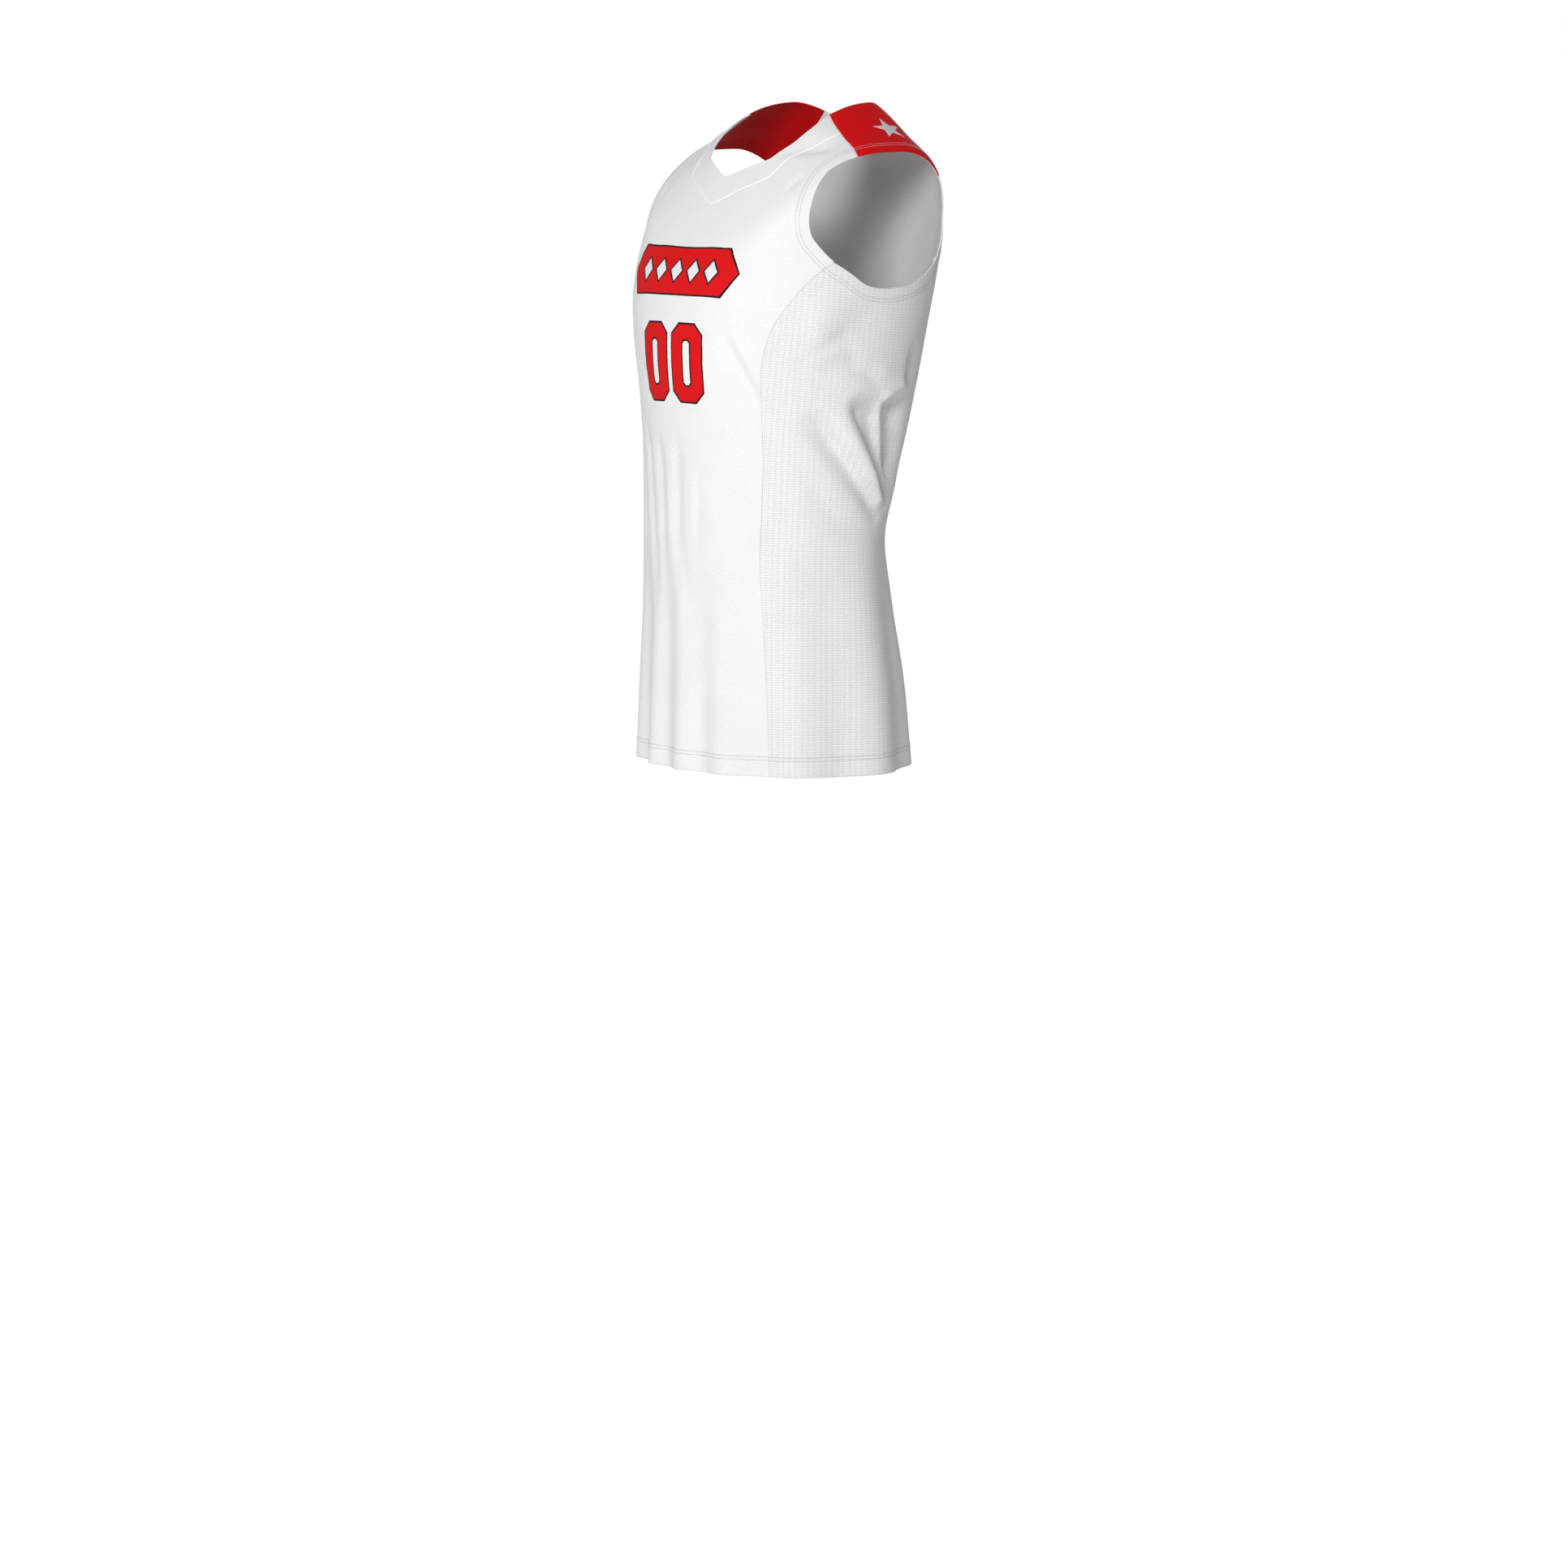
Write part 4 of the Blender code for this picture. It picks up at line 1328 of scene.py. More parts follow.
@dataclass
class Panel:
    """One cut piece of knit, as a closed shell with rounded edges."""

    pattern: Pattern
    node: str = ""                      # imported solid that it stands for
    slot: Slot = Slot.WHITE_KNIT
    fineness: int = 7                   # steps within each coarse step of the cut
    seam_gap: float = 0.05 * MM         # clear line to the next piece
    rim_share: float = 0.45             # how far in the rounding of an edge starts, in half thicknesses
    rim_turn: float = math.pi / 6       # where on that rounding its two middle rings lie
    rim_height: float = 0.75            # and how high, in half thicknesses
    corner_limit: float = 0.6           # how far a corner of the edge may stretch when it moves in
    hung_from: tuple = ()               # nodes that it hangs from

    def grid(self) -> Array:
        """Grid of places that the panel covers."""
        raise NotImplementedError

    def build(self, material: bpy.types.Material) -> bpy.types.Object:
        """Builds the panel and hides the imported solid that it stands for.

        Args:
            material: Its knit.

        Returns:
            The panel.
        """
        places = self.grid()
        skin = self.pattern.skin(places)
        self.cut = FlatCut(places, skin.middle, self.fineness)
        rim = (skin.outer + skin.inner)[..., None] / 2
        middle = skin.middle + skin.out * (skin.outer - skin.inner)[..., None] / 2
        loop, away = self.border(middle, skin.out)
        middle[loop] -= away * (rim[loop] * self.rim_share + self.seam_gap / 2)
        side = away * rim[loop] * self.rim_share * math.cos(self.rim_turn)
        up = skin.out[loop] * rim[loop] * self.rim_height
        shell = self.per_vertex(middle + skin.out * rim, middle - skin.out * rim, loop)
        shell[-2 * len(side):] = np.vstack([middle[loop] + side + up, middle[loop] + side - up])
        faces = self.faces(places.shape[:2], loop)
        flat = self.per_vertex(self.cut.flat, self.cut.flat, loop)
        piece = link_mesh(f"{self.node}_knit", shell, faces, material, flat)
        marks = {
            "armhole_m": (skin.armhole, skin.armhole), "hem_m": (skin.bottom, skin.bottom),
            "seam_m": (skin.seam, skin.seam),
            # the inside face, which the knit darkens with painted shade
            "reverse": (np.zeros(places.shape[:2]), np.ones(places.shape[:2])),
        }
        for name, both_faces in marks.items():
            layer = piece.data.attributes.new(name, "FLOAT", "POINT")
            layer.data.foreach_set("value", self.per_vertex(*both_faces, loop).astype(np.float32))
        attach(piece, BODY)
        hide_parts(self.node)
        log.info(
            "%s: %d faces, cut %.3f x %.3f m, %.4f m2",
            piece.name, len(faces), self.cut.width, self.cut.length, self.cut.area,
        )
        self.piece = piece
        return piece

    def flat_size(self) -> tuple[float, float]:
        """Width and length of the rectangle that the panel is cut from."""
        return float(self.cut.width), float(self.cut.length)

    def declare(self, riding_on: list[bpy.types.Object]) -> None:
        """Reads the panel's flat cut, what it hangs from and the pieces sewn or pressed on it, and passes
        them nowhere.

        Args:
            riding_on: Those pieces.
        """
        self.flat_size()
        list(self.hung_from)
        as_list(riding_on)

    @staticmethod
    def per_vertex(outer: Array, inner: Array, loop: tuple[Array, Array]) -> Array:
        """Values for every vertex of the shell: its two faces, then the two rings of its rim."""
        faces = [grid.reshape(-1, *grid.shape[2:]) for grid in (outer, inner)]
        return np.concatenate([*faces, outer[loop], inner[loop]])

    def border(self, points: Array, out: Array) -> tuple[tuple[Array, Array], Array]:
        """The grid's border, walked clockwise as seen from outside, and the way off the panel.

        Args:
            points: The grid in space.
            out: The way out of the cloth at each point.

        Returns:
            Rows and columns of the border, and a vector for each of its points.
        """
        rows, columns = points.shape[:2]
        r, c = np.arange(rows), np.arange(columns)
        top, bottom = np.zeros(columns - 1, int), np.full(columns - 1, rows - 1)
        first, last = np.zeros(rows - 1, int), np.full(rows - 1, columns - 1)
        row = np.concatenate([top, r[:-1], bottom, r[:0:-1]])
        column = np.concatenate([c[:-1], last, c[:0:-1], first])
        line = points[row, column]
        before = unit(np.cross(out[row, column], unit(line - np.roll(line, 1, axis=0))))
        after = unit(np.cross(out[row, column], unit(np.roll(line, -1, axis=0) - line)))
        both = unit(before + after)
        return (row, column), both / np.maximum(dot(both, after), self.corner_limit)[:, None]

    @staticmethod
    def faces(shape: tuple[int, int], loop: tuple[Array, Array]) -> list:
        """Quads of the outer face, the inner face and the rounded rim between them.

        Args:
            shape: Rows and columns of the grid.
            loop: Rows and columns of its border.

        Returns:
            Vertex numbers of each quad.
        """
        rows, columns = shape
        size = rows * columns
        index = np.arange(size).reshape(rows, columns)
        outer = np.stack([index[:-1, :-1], index[1:, :-1], index[1:, 1:], index[:-1, 1:]], -1)
        outer = outer.reshape(-1, 4)
        bands = [outer, outer[:, ::-1] + size]
        border = index[loop]
        count = len(border)
        rings = [border, 2 * size + np.arange(count), 2 * size + count + np.arange(count), border + size]
        for near, far in zip(rings[:-1], rings[1:]):
            bands.append(np.stack([near, np.roll(near, -1), np.roll(far, -1), far], -1))
        return np.vstack(bands).tolist()


@dataclass
class FoldedPanel(Panel):
    """A panel that is cut on the fold: its two halves mirror each other across a centre line."""

    centre_deg: float = 0.0
    underarm: float = 0.0               # station at its centre that is level with the underarm
    top_lines: tuple = ()               # cut lines from the centre to the armhole
    side_lines: tuple = ()              # and down its side: armhole, bodice and skirt

    def grid(self) -> Array:
        """Both halves, mirrored across the centre line.

        Returns:
            Rows by columns of places.
        """
        top = panel_edge(self.fineness, *self.top_lines)
        side = panel_edge(self.fineness, *self.side_lines)
        middle = panel_edge(self.fineness, *self.centre_lines())
        hem = straight(middle[-1], side[-1], len(top) - 1)
        return mirrored(patch(top, hem, middle, side, PANEL_DECAY), self.centre_deg)

    def centre_lines(self) -> list[CutLine]:
        """The centre line, cut where the armhole, bodice and skirt of the side edge end.

        Returns:
            Its cut lines, from the top to the hem.
        """
        stations = (self.top_lines[0].marks[0].station, self.underarm, WAIST_STATION, HEM_STATION)
        return [
            CutLine(line.coarse, 0, (Mark(self.centre_deg, start), Mark(self.centre_deg, end)))
            for line, start, end in zip(self.side_lines, stations, stations[1:])
        ]


@dataclass
class FrontPanel(FoldedPanel):
    """Front: neckband seam and yoke seams on top, armholes and side seams at the sides."""

    node: str = "front_panel"
    hung_from: tuple = ("yoke_left", "yoke_right", "neckband")
    underarm: float = 0.235
    top_lines: tuple = (BAND_FRONT, BAND_SIDE, YOKE_FRONT_OUTER)
    side_lines: tuple = (ARMHOLE_FRONT, SIDE_FRONT, SKIRT_FRONT)


@dataclass
class BackPanel(FoldedPanel):
    """Back, from the back of the neck to the hem."""

    node: str = "back_panel"
    hung_from: tuple = ("yoke_left", "yoke_right")
    centre_deg: float = 180.0
    underarm: float = 0.225
    top_lines: tuple = (NECK_BACK, YOKE_BACK)
    side_lines: tuple = (ARMHOLE_BACK, SIDE_BACK, SKIRT_BACK)

    def grid(self) -> Array:
        """The mirrored halves, their columns turned round so that the panel faces out."""
        return super().grid()[:, ::-1]


@dataclass
class SidedPanel(Panel):
    """A piece that the jersey has once on each flank."""

    side: Side = Side.LEFT

    def left_grid(self) -> Array:
        """The piece on the wearer's left."""
        raise NotImplementedError

    def grid(self) -> Array:
        """The piece on its own flank, its columns turned round on the right so that it faces out."""
        grid = self.left_grid()
        return grid if self.side is Side.LEFT else on_side(grid[:, ::-1], Side.RIGHT)


@dataclass
class SidePanel(SidedPanel):
    """Mesh side panel, from the underarm to the hem."""

    slot: Slot = Slot.WHITE_MESH
    fineness: int = 8
    across: int = 5                     # fineness across, where the coarse steps are already short
    hung_from: tuple = ("front_panel", "back_panel")

    def left_grid(self) -> Array:
        """Side panel under the wearer's left arm.

        Returns:
            Rows by columns of places.
        """
        first = panel_edge(self.fineness, SIDE_FRONT, SKIRT_FRONT)
        last = panel_edge(self.fineness, SIDE_BACK, SKIRT_BACK)
        top = panel_edge(self.across, ARMHOLE_UNDER)
        bottom = straight(first[-1], last[-1], len(top) - 1)
        return patch(top, bottom, first, last, PANEL_DECAY)


@dataclass
class Yoke(SidedPanel):
    """Red shoulder yoke, from the front seam over the strap to the back seam."""

    slot: Slot = Slot.RED_KNIT
    fineness: int = 10

    def left_grid(self) -> Array:
        """Yoke on the wearer's left shoulder.

        Returns:
            Rows by columns of places.
        """
        first = panel_edge(self.fineness, YOKE_FRONT_INNER, YOKE_FRONT_OUTER)
        neck, arm, last = (panel_edge(self.fineness, line) for line in (NECK_TOP, ARMHOLE_TOP, YOKE_BACK))
        return patch(neck, arm, first, last, SMALL_DECAY)


@dataclass
class Neckband(Panel):
    """V neckband across the front, from yoke to yoke, with a point at the centre."""

    node: str = "neckband"
    fineness: int = 10
    hung_from: tuple = ("yoke_left", "yoke_right")

    def grid(self) -> Array:
        """Both halves of the band, mirrored across the centre line.

        Returns:
            Rows by columns of places.
        """
        neck = panel_edge(self.fineness, NECK_FRONT, NECK_SIDE)
        seam = panel_edge(self.fineness, BAND_FRONT, BAND_SIDE)
        last = panel_edge(self.fineness, YOKE_FRONT_INNER)
        first = straight(neck[0], seam[0], len(last) - 1)
        return mirrored(patch(neck, seam, first, last, SMALL_DECAY), 0)

    def flat_size(self) -> tuple[float, float]:
        """The band is cut as one straight strip, and mitred at the point of the V.

        Returns:
            Width and length in metres.
        """
        middle = self.cut.flat[self.cut.flat.shape[0] // 2]
        length = float(travelled(middle)[-1])
        return self.cut.area / length, length


@dataclass
class StitchRow:
    """A row of straight machine stitches on the outer face, each one a raised loop of thread."""

    pattern: Pattern
    lines: list[Array]                  # lines of places that the needle follows
    name: str
    pitch: float = 2.8 * MM
    length: float = 2.2 * MM
    thread: float = 0.50 * MM           # drawn thicker than the real 0.3 mm so that a row shows
    sides: int = 6
    swell: tuple = (0.35, 0.85, 1.0, 0.85, 0.35)    # thickness along one stitch, as a share
    sink: float = 0.12 * MM             # how deep a stitch beds in the cloth

    def build(self, material: bpy.types.Material) -> bpy.types.Object:
        """Builds every stitch of the rows as one mesh.

        Args:
            material: Finish of the thread.

        Returns:
            The mesh object.
        """
        vertices, faces, start = [], [], 0
        for line in self.lines:
            points, out = self.pattern.on_face(line, 0.0)
            travel = travelled(points)
            count = max(1, round(travel[-1] / self.pitch))
            at = (np.arange(count) + 0.5) * travel[-1] / count
            centre, normal, tangent = (
                np.stack([np.interp(at, travel, values[:, i]) for i in range(3)], -1)
                for values in (points, out, unit(np.gradient(points, travel, axis=0)))
            )
            rings = self.rings(centre, unit(normal), unit(tangent))
            vertices.append(rings.reshape(-1, 3))
            faces += self.faces(count, start)
            start += len(vertices[-1])
        piece = link_mesh(self.name, np.vstack(vertices), faces, material)
        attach(piece, BODY)
        log.info("%s: %d stitches", self.name, start // (len(self.swell) * self.sides))
        return piece

    def rings(self, centre: Array, out: Array, tangent: Array) -> Array:
        """Points of every stitch.

        Args:
            centre: Middle of each stitch.
            out: The way out of the cloth there.
            tangent: The way that the row goes there.

        Returns:
            Stitches by rings by points round the thread by 3.
        """
        aside = np.cross(out, tangent)
        radius = self.thread / 2
        turns = np.linspace(0, 2 * math.pi, self.sides, endpoint=False)
        at = np.linspace(-0.5, 0.5, len(self.swell)) * self.length
        lift = (np.array(self.swell) - 1) * radius + radius - self.sink
        spine = centre[:, None] + tangent[:, None] * at[:, None] + out[:, None] * lift[:, None]
        spokes = out[:, None] * np.cos(turns)[:, None] + aside[:, None] * np.sin(turns)[:, None]
        return spine[:, :, None] + spokes[:, None] * (np.array(self.swell) * radius)[:, None, None]

    def faces(self, count: int, start: int) -> list:
        """Quads round each stitch and a cap at both ends.

        Args:
            count: Number of stitches.
            start: Number of their first vertex.

        Returns:
            Vertex numbers of each face.
        """
        rings, sides = len(self.swell), self.sides
        index = start + np.arange(count * rings * sides).reshape(count, rings, sides)
        over = np.roll(index, -1, axis=2)
        quads = np.stack([index[:, :-1], over[:, :-1], over[:, 1:], index[:, 1:]], -1).reshape(-1, 4)
        return quads.tolist() + index[:, 0, ::-1].tolist() + index[:, -1].tolist()


@dataclass
class Strip:
    """A narrow piece that follows a line on the jersey, closed all round."""

    pattern: Pattern
    name: str
    line: Array                         # places that it follows

    def sections(self) -> tuple[Array, Array, Array]:
        """Corners of every section, their way across the flat strip and the sections' way along it."""
        raise NotImplementedError

    def build(self, material: bpy.types.Material) -> bpy.types.Object:
        """Builds the strip as a closed mesh.

        Args:
            material: Finish of the strip.

        Returns:
            The mesh object.
        """
        ring, across, along = self.sections()
        rows, corners = ring.shape[:2]
        index = np.arange(rows * corners).reshape(rows, corners)
        over = np.roll(index, -1, axis=1)
        quads = np.stack([index[:-1], over[:-1], over[1:], index[1:]], -1).reshape(-1, 4).tolist()
        faces = quads + [index[0, ::-1].tolist(), index[-1].tolist()]
        flat = np.stack(np.broadcast_arrays(across[None], along[:, None]), -1).reshape(-1, 2)
        piece = link_mesh(self.name, ring.reshape(-1, 3), faces, material, flat)
        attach(piece, BODY)
        log.info("%s: %.0f mm long", self.name, along[-1] / MM)
        return piece


@dataclass
class SeamAllowance(Strip):
    """The overlocked edges of two panels, laid flat inside along their seam."""

    width: float = 8 * MM
    thickness: float = 0.6 * MM
    bed: float = 0.15 * MM              # how deep it beds in the cloth

    def sections(self) -> tuple[Array, Array, Array]:
        """Flat sections of six corners, three against the cloth and three away from it.

        Returns:
            What Strip.sections describes.
        """
        shares = np.array([0, 0.5, 1])
        near, far = [], []
        for share in shares:
            skin = self.pattern.skin(self.pattern.aside(self.line, (share - 0.5) * self.width))
            depth = (skin.inner - self.bed)[:, None]
            near.append(skin.middle - skin.out * depth)
            far.append(skin.middle - skin.out * (depth + self.thickness))
        across = np.concatenate([shares, shares[::-1]]) * self.width
        return np.stack(near + far[::-1], 1), across, travelled(self.line * CLOTH_SCALE)


@dataclass
class RaisedSeam(Strip):
    """The neckband's seam: its turned edge shows as a thin raised welt."""

    width: float = 2.4 * MM
    height: float = 0.75 * MM
    bed: float = 0.4 * MM
    corners: int = 8

    def sections(self) -> tuple[Array, Array, Array]:
        """Rounded sections, flattened under the welt.

        Returns:
            What Strip.sections describes.
        """
        points, out = self.pattern.on_face(self.line, 0.0)
        aside = np.cross(unit(np.gradient(points, axis=0)), out)
        turns = np.linspace(0, -2 * math.pi, self.corners, endpoint=False)
        across = np.cos(turns) * self.width / 2
        up = np.sin(turns) * self.height - self.bed * (np.sin(turns) < 0)
        ring = points[:, None] + aside[:, None] * across[:, None] + out[:, None] * up[:, None]
        return ring, across, travelled(points)


@dataclass
class Print:
    """A film cut to an outline and pressed on a panel, following its every crease."""

    panel: Panel
    name: str
    centre: tuple                       # on the flat cut, from the middle of the panel's top edge
    outlines: list                      # closed outlines in metres; a hole is one that lies in another
    lift: float                         # height of the film's face above the cloth
    turn_deg: float = 0.0
    cell: float = 3 * MM                # the film is cut to bend at this spacing
    bed: float = 0.15 * MM

    def build(self, material: bpy.types.Material) -> bpy.types.Object:
        """Builds the film.

        Args:
            material: Finish of the film.

        Returns:
            The mesh object.
        """
        flat, faces = self.cut_out()
        spots = flat @ spin(math.radians(self.turn_deg)) + np.array(self.centre)
        places = self.panel.cut.worn(spots)
        points, out = self.panel.pattern.on_face(places, self.lift)
        piece = link_mesh(self.name, points, faces, material, spots)
        wall = piece.modifiers.new("film", "SOLIDIFY")
        wall.thickness = self.lift + self.bed
        wall.offset = -1.0
        wall.use_even_offset = False
        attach(piece, BODY)
        log.info("%s: %d faces", self.name, len(faces))
        return piece

    def cut_out(self) -> tuple[Array, list]:
        """The outline filled, holes left out, and cut along a square mesh of cells.

        Returns:
            Flat points, and vertex numbers of each face.
        """
        sheet = bmesh.new()
        for outline in self.outlines:
            corners = [sheet.verts.new((x, y, 0)) for x, y in outline]
            for one, other in zip(corners, corners[1:] + corners[:1]):
                sheet.edges.new((one, other))
        bmesh.ops.triangle_fill(sheet, edges=sheet.edges[:], use_beauty=True, normal=(0, 0, 1))
        low, high = (
            np.array([pick(v.co[i] for v in sheet.verts) for i in range(2)]) for pick in (min, max)
        )
        for axis in range(2):
            normal = Vector((1 - axis, axis, 0))
            for at in np.arange(low[axis] + self.cell / 2, high[axis], self.cell):
                everything = sheet.verts[:] + sheet.edges[:] + sheet.faces[:]
                bmesh.ops.bisect_plane(sheet, geom=everything, plane_co=normal * at, plane_no=normal)
        for face in sheet.faces:
            if face.normal.z < 0:
                face.normal_flip()
        sheet.verts.index_update()
        flat = np.array([v.co[:2] for v in sheet.verts])
        faces = [[v.index for v in face.verts] for face in sheet.faces]
        sheet.free()
        return flat, faces


def chamfered(width: float, height: float, chamfer: float, grow: float = 0.0) -> list:
    """Outline of a rectangle about the origin with its corners cut off, grown on every side.

    Args:
        width: Its width.
        height: Its height.
        chamfer: What a corner takes off each side.
        grow: How far every side moves out.

    Returns:
        Its corners.
    """
    x, y, cut = width / 2 + grow, height / 2 + grow, chamfer + grow / 2
    return [
        (x, y - cut), (x - cut, y), (cut - x, y), (-x, y - cut),
        (-x, cut - y), (cut - x, -y), (x - cut, -y), (x, cut - y),
    ]


def shifted(outline: list, aside: float) -> list:
    """The outline moved aside."""
    return [(x + aside, y) for x, y in outline]


def star(radius: float, points: int = 5, waist: float = 0.382) -> list:
    """Outline of a plain star, one point up.

    Args:
        radius: From the middle to a point.
        points: Number of points.
        waist: Share of the radius at its inner corners.

    Returns:
        Its corners.
    """
    corners = []
    for i in range(2 * points):
        reach = radius if i % 2 == 0 else radius * waist
        angle = math.pi / 2 + math.pi * i / points
        corners.append((reach * math.cos(angle), reach * math.sin(angle)))
    return corners


def plaque(width: float, height: float, point: float) -> list:
    """Outline of a long hexagon, pointed at both ends."""
    x, y = width / 2, height / 2
    return [(x, 0), (x - point, y), (point - x, y), (-x, 0), (point - x, -y), (x - point, -y)]


@dataclass
class FrontPrints:
    """What is pressed on the chest: a generic plaque, and two plain block noughts below it."""

    panel: Panel
    plaque_centre: tuple = (-0.007, -0.0885)
    plaque_width: float = 0.199
    plaque_height: float = 0.056
    plaque_point: float = 0.020
    lozenges: int = 5
    lozenge_pitch: float = 0.030
    lozenge_width: float = 0.020
    lozenge_height: float = 0.026
    plaque_rim: float = 2.4             # what the dark edge adds to the plaque's width, in edges
    lozenge_rim: float = 3.0            # and to a lozenge, whose slanting sides need more
    number_centre: tuple = (0.0, -0.1946)
    digit_width: float = 0.0475
    digit_height: float = 0.087
    digit_gap: float = 0.011
    stroke: float = 0.0165
    chamfer: float = 0.0115
    inner_corner: float = 0.45          # how much smaller the hole's corners are, in strokes
    outline: float = 2.0 * MM           # width of the dark edge
    film: float = 0.12 * MM             # how far each layer of film stands above the last

    def build(self, finishes: Finishes) -> list[bpy.types.Object]:
        """Builds the prints of the front."""
        return self.build_plaque(finishes) + self.build_number(finishes)

    def build_plaque(self, finishes: Finishes) -> list[bpy.types.Object]:
        """A red plaque with a dark edge and a row of white lozenges.

        Args:
            finishes: Those of the jersey.

        Returns:
            The layers of film.
        """
        size = (self.plaque_width, self.plaque_height)
        rim = (self.plaque_rim * self.outline, 2 * self.outline)
        border = plaque(size[0] + rim[0], size[1] + rim[1], self.plaque_point)
        places = [(i - (self.lozenges - 1) / 2) * self.lozenge_pitch for i in range(self.lozenges)]
        growths = (self.lozenge_rim * self.outline, 0.0)
        sizes = [(self.lozenge_width + grow, self.lozenge_height + grow) for grow in growths]
        rims, fills = (
            [shifted(plaque(wide, high, wide / 2), place) for place in places] for wide, high in sizes
        )
        layers = (
            ("plaque_edge", [border], finishes.black_film, 1),
            ("plaque_field", [plaque(*size, self.plaque_point)], finishes.red_film, 2),
            ("plaque_lozenge_edges", rims, finishes.black_film, 3),
            ("plaque_lozenges", fills, finishes.white_film, 4),
        )
        return self.layers(layers, self.plaque_centre)

    def build_number(self, finishes: Finishes) -> list[bpy.types.Object]:
        """Two block noughts, red with a dark edge.

        Args:
            finishes: Those of the jersey.

        Returns:
            The layers of film.
        """
        shift = (self.digit_width + self.digit_gap) / 2
        digit = (self.digit_width, self.digit_height, self.chamfer)
        hole = (
            self.digit_width - 2 * self.stroke, self.digit_height - 2 * self.stroke,
            self.chamfer - self.inner_corner * self.stroke,
        )
        darks, reds = (
            [
                shifted(chamfered(*size, grow), place)
                for place in (-shift, shift) for size, grow in ((digit, edge), (hole, -edge))
            ]
            for edge in (self.outline, 0.0)
        )
        layers = (
            ("number_edge", darks, finishes.black_film, 1), ("number", reds, finishes.red_film, 2),
        )
        return self.layers(layers, self.number_centre)

    def layers(self, layers: tuple, centre: tuple) -> list[bpy.types.Object]:
        """Presses the layers on one above another.

        Args:
            layers: Name, outlines, material and level of each.
            centre: Their middle on the flat cut.

        Returns:
            The layers of film.
        """
        return [
            Print(self.panel, f"front_{name}", centre, outlines, self.film * level).build(material)
            for name, outlines, material, level in layers
        ]


@dataclass
class YokeStar:
    """A plain star pressed on a yoke."""

    yoke: Yoke
    radius: float = 0.021
    back: float = 0.002                 # from the middle of the yoke's neck edge, towards the back
    down: float = 0.057                 # and towards the armhole
    turn_deg: float = 83.0              # how far its first point turns from the neck to the front
    film: float = 0.12 * MM

    def build(self, finishes: Finishes) -> bpy.types.Object:
        """Builds the star, mirrored on the wearer's right.

        Args:
            finishes: Those of the jersey.

        Returns:
            The mesh object.
        """
        side = self.yoke.side
        return Print(
            self.yoke, f"star_{side.word}", (self.back * side.value, -self.down),
            [star(self.radius)], self.film, turn_deg=self.turn_deg * side.value,
        ).build(finishes.grey_film)


@dataclass(frozen=True)
class SoftLight:
    """A large square soft light, aimed at the chest."""

    name: str
    azimuth: float                      # degrees round the wearer from the front, towards their left
    height: float                       # degrees above the chest
    size: float                         # width of the light
    power: float                        # in watts
    reach: float = 4.0                  # distance from the chest
    target: tuple = (0.0, -0.06, -0.3)

    def build(self) -> None:
        """Builds the light."""
        data = bpy.data.lights.new(self.name, "AREA")
        data.shape = "SQUARE"
        data.size = self.size
        data.energy = self.power
        around, up = math.radians(self.azimuth), math.radians(self.height)
        way = Vector((math.sin(around) * math.cos(up), -math.cos(around) * math.cos(up), math.sin(up)))
        light = bpy.data.objects.new(self.name, data)
        light.location = Vector(self.target) + way * self.reach
        light.rotation_euler = way.to_track_quat("Z", "Y").to_euler()
        bpy.context.scene.collection.objects.link(light)


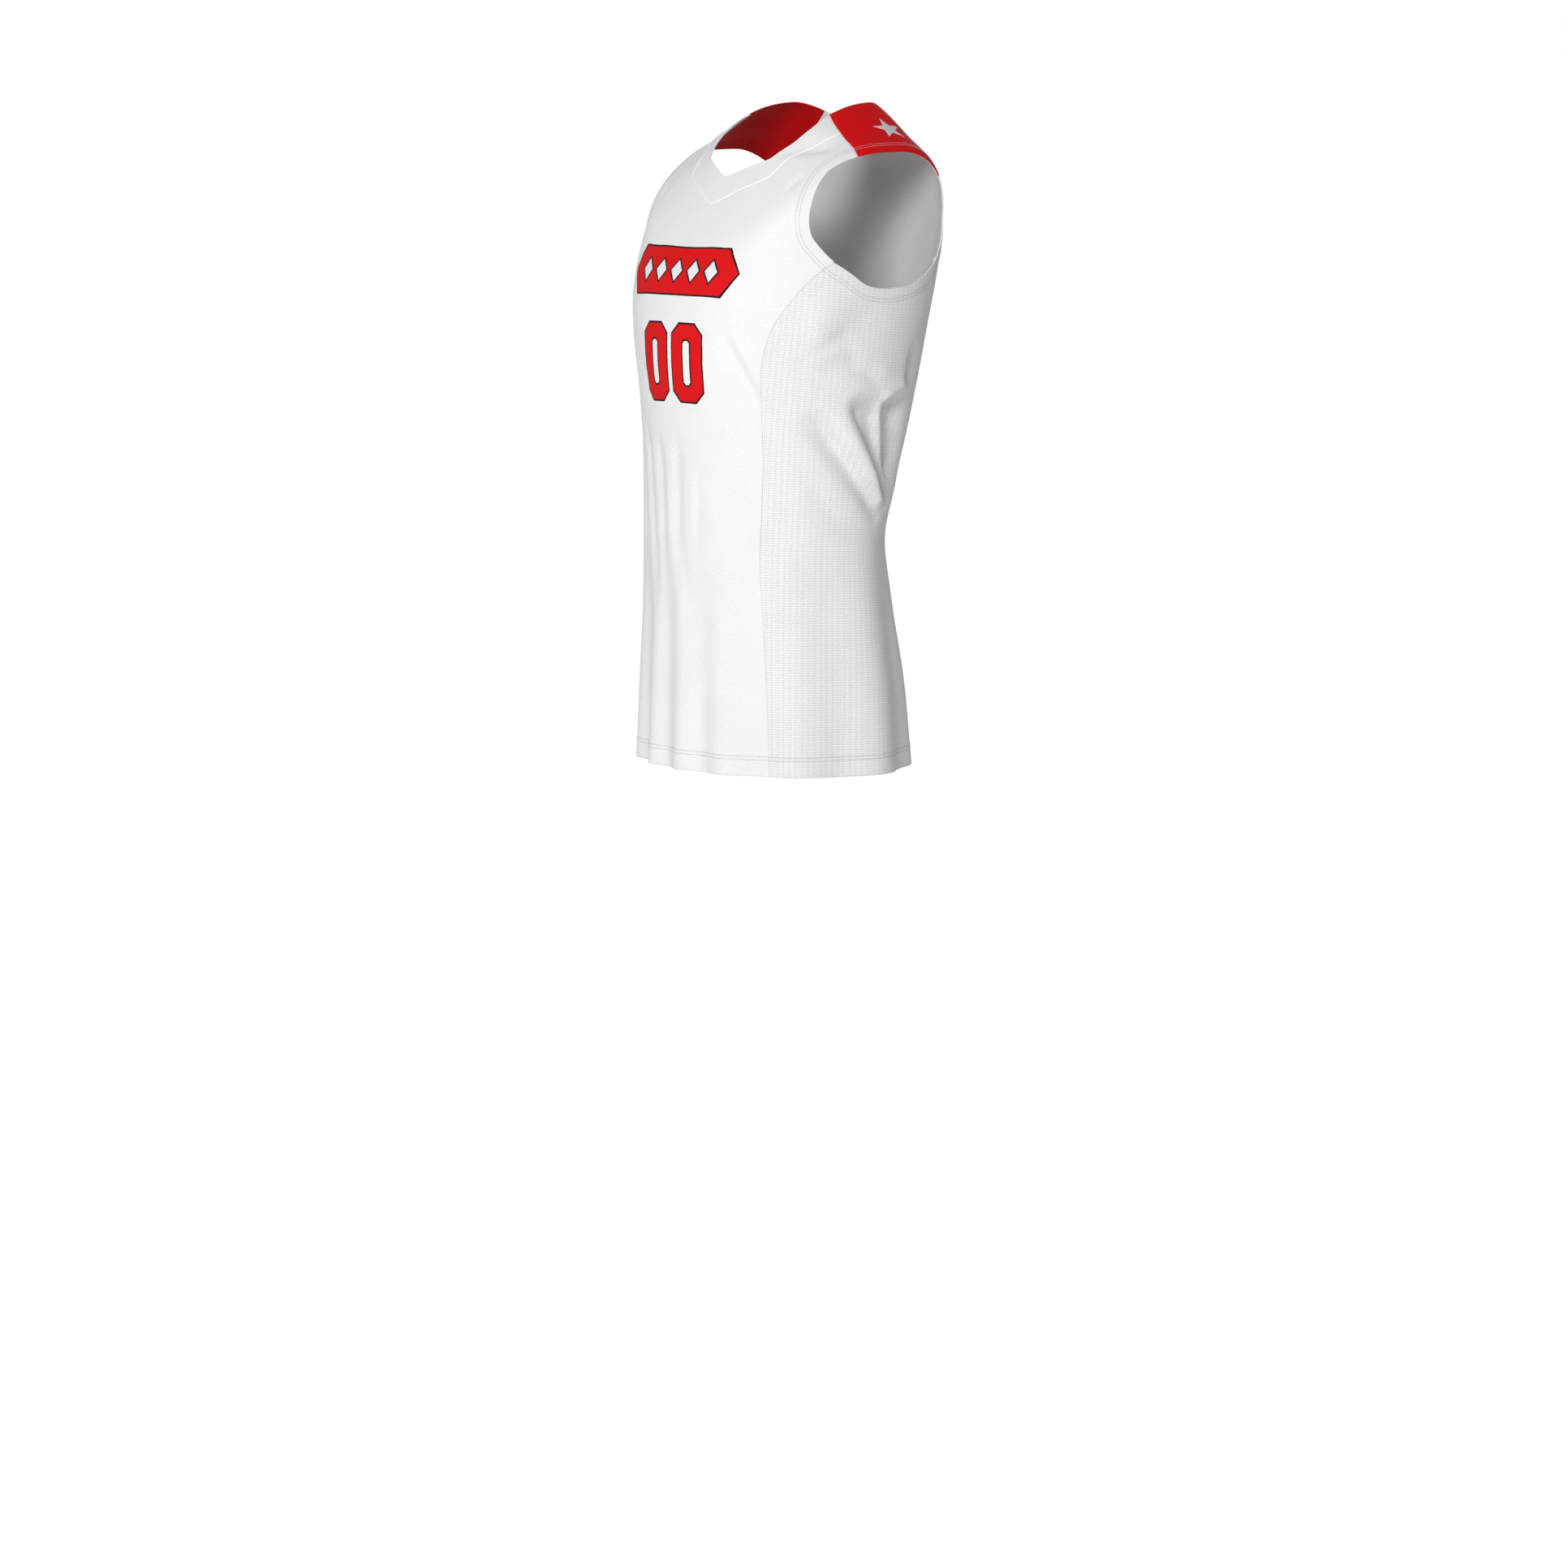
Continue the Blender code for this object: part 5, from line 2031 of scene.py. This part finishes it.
@dataclass
class Studio:
    """Plain pale floor, soft light and the camera."""

    camera_azimuth: float = 52.0
    camera_pitch: float = 8.2
    camera_height: float = 0.054
    camera_x: float = 4.4952
    camera_y: float = -3.5648
    lens: float = 111.52
    sensor: float = 36.0
    floor_z: float = -1.536
    floor_size: float = 60.0
    floor_glow: float = 0.75            # what the paper backdrop's own lights add to the floor
    mottle_scale: float = 3.0           # clouds of the floor's mottling in a metre
    daylight: float = 0.29              # strength of the white surroundings as they light the jersey
    lights: tuple = (
        SoftLight("key", 37.0, 20.0, 1.0, 105.0),
        SoftLight("front_fill", -40.0, 12.0, 2.4, 12.0),
        SoftLight("back_fill", 230.0, 14.0, 1.6, 62.0),
    )

    def build(self) -> None:
        """Builds the floor, the lights, the world and the camera."""
        self.build_camera()
        self.build_floor()
        self.build_world()
        for light in self.lights:
            light.build()

    def build_camera(self) -> None:
        """Camera in front of the wearer's left shoulder, looking slightly down."""
        data = bpy.data.cameras.new("camera")
        data.lens = self.lens
        data.sensor_width = self.sensor
        data.clip_end = 200.0
        camera = bpy.data.objects.new("camera", data)
        camera.location = (self.camera_x, self.camera_y, self.camera_height)
        camera.rotation_euler = (
            math.radians(90 - self.camera_pitch), 0.0, math.radians(self.camera_azimuth),
        )
        bpy.context.scene.collection.objects.link(camera)
        bpy.context.scene.camera = camera

    def build_floor(self) -> None:
        """A wide matt floor where the wearer's feet would stand."""
        half = self.floor_size / 2
        corners = [(-half, -half), (half, -half), (half, half), (-half, half)]
        vertices = np.array([(x, y, self.floor_z) for x, y in corners])
        # Matt white studio paint: rolled on, with a barely mottled face
        material, shader = new_material("rolled_white_floor_paint", {
            "Roughness": 0.9, "Specular IOR Level": 0.1, "Emission Color": linear("#FFFFFF"),
        })
        tree = material.node_tree
        seen = add_node(tree, "ShaderNodeLightPath", {}).outputs["Is Camera Ray"]
        glow = add_node(tree, "ShaderNodeMath", {"operation": "MULTIPLY", 0: seen, 1: self.floor_glow})
        tree.links.new(glow.outputs[0], shader.inputs["Emission Strength"])
        place = add_node(tree, "ShaderNodeTexCoord", {}).outputs["Object"]
        mottle = add_node(
            tree, "ShaderNodeTexNoise", {"Scale": self.mottle_scale, "Detail": 2.0, "Vector": place},
        )
        colour = add_node(tree, "ShaderNodeMix", {
            "data_type": "RGBA", 0: mottle, 6: linear("#F6F6F6"), 7: linear("#FAFAFA"),
        })
        tree.links.new(colour.outputs[2], shader.inputs["Base Color"])
        link_mesh("studio_floor", vertices, [[0, 1, 2, 3]], material)

    def build_world(self) -> None:
        """Even white surroundings."""
        world = bpy.data.worlds.new("studio")
        world.use_nodes = True
        tree = world.node_tree
        tree.nodes.clear()
        seen = add_node(tree, "ShaderNodeLightPath", {}).outputs["Is Camera Ray"]
        strength = add_node(tree, "ShaderNodeMapRange", {0: seen, 3: self.daylight, 4: 1.0})
        light = add_node(tree, "ShaderNodeBackground", {"Color": (1, 1, 1, 1), "Strength": strength})
        add_node(tree, "ShaderNodeOutputWorld", {"Surface": light})
        bpy.context.scene.world = world
        bpy.context.scene.view_settings.view_transform = "Standard"


@dataclass
class Jersey:
    """The whole jersey: seven knitted panels with their sewing and prints."""

    pattern: Pattern = field(default_factory=Pattern)

    def build(self) -> None:
        """Builds the panels, what is sewn and what is pressed on them."""
        finishes = Finishes(self.pattern)
        knits = {
            Slot.WHITE_KNIT: finishes.white_knit, Slot.WHITE_MESH: finishes.white_mesh,
            Slot.RED_KNIT: finishes.red_knit,
        }
        front = FrontPanel(self.pattern)
        sides = [SidePanel(self.pattern, f"side_panel_{side.word}", side=side) for side in Side]
        yokes = [Yoke(self.pattern, f"yoke_{side.word}", side=side) for side in Side]
        panels = [front, BackPanel(self.pattern), *sides, *yokes, Neckband(self.pattern)]
        for panel in panels:
            panel.build(knits[panel.slot])
        self.sew(finishes)
        riding = {front.node: FrontPrints(front).build(finishes)}
        riding |= {yoke.node: [YokeStar(yoke).build(finishes)] for yoke in yokes}
        for panel in panels:
            panel.declare(riding.get(panel.node, []))

    def sew(self, finishes: Finishes) -> None:
        """Stitches the hems and seams, and lays the seam allowances inside.

        Args:
            finishes: Those of the jersey.
        """
        pattern = self.pattern
        lines = pattern.seam_lines()
        for side in Side:
            armhole = pattern.armhole(side)
            rows = [pattern.aside(armhole, side.value * row) for row in pattern.armhole_rows]
            StitchRow(pattern, rows, f"armhole_stitches_{side.word}").build(finishes.thread)
            seams = ((f"yoke_front_{side.word}", side.value), (f"yoke_back_{side.word}", -side.value))
            rows = [pattern.aside(lines[name], turn * pattern.edge_row) for name, turn in seams]
            StitchRow(pattern, rows, f"yoke_stitches_{side.word}").build(finishes.thread)
        rows = [pattern.aside(pattern.lower_edge(), -row) for row in pattern.bottom_rows]
        StitchRow(pattern, rows, "hem_stitches").build(finishes.thread)
        for name, line in lines.items():
            SeamAllowance(pattern, f"seam_allowance_{name}", line).build(finishes.white_knit)
        RaisedSeam(pattern, "neckband_welt", lines["neckband"][1:-1]).build(finishes.white_edge)


def main() -> None:
    """Builds the studio and the jersey."""
    logging.basicConfig(level=logging.INFO, format="%(name)s: %(message)s")
    Studio().build()
    Jersey().build()
    bpy.context.view_layer.update()


if __name__ == "__main__":
    main()
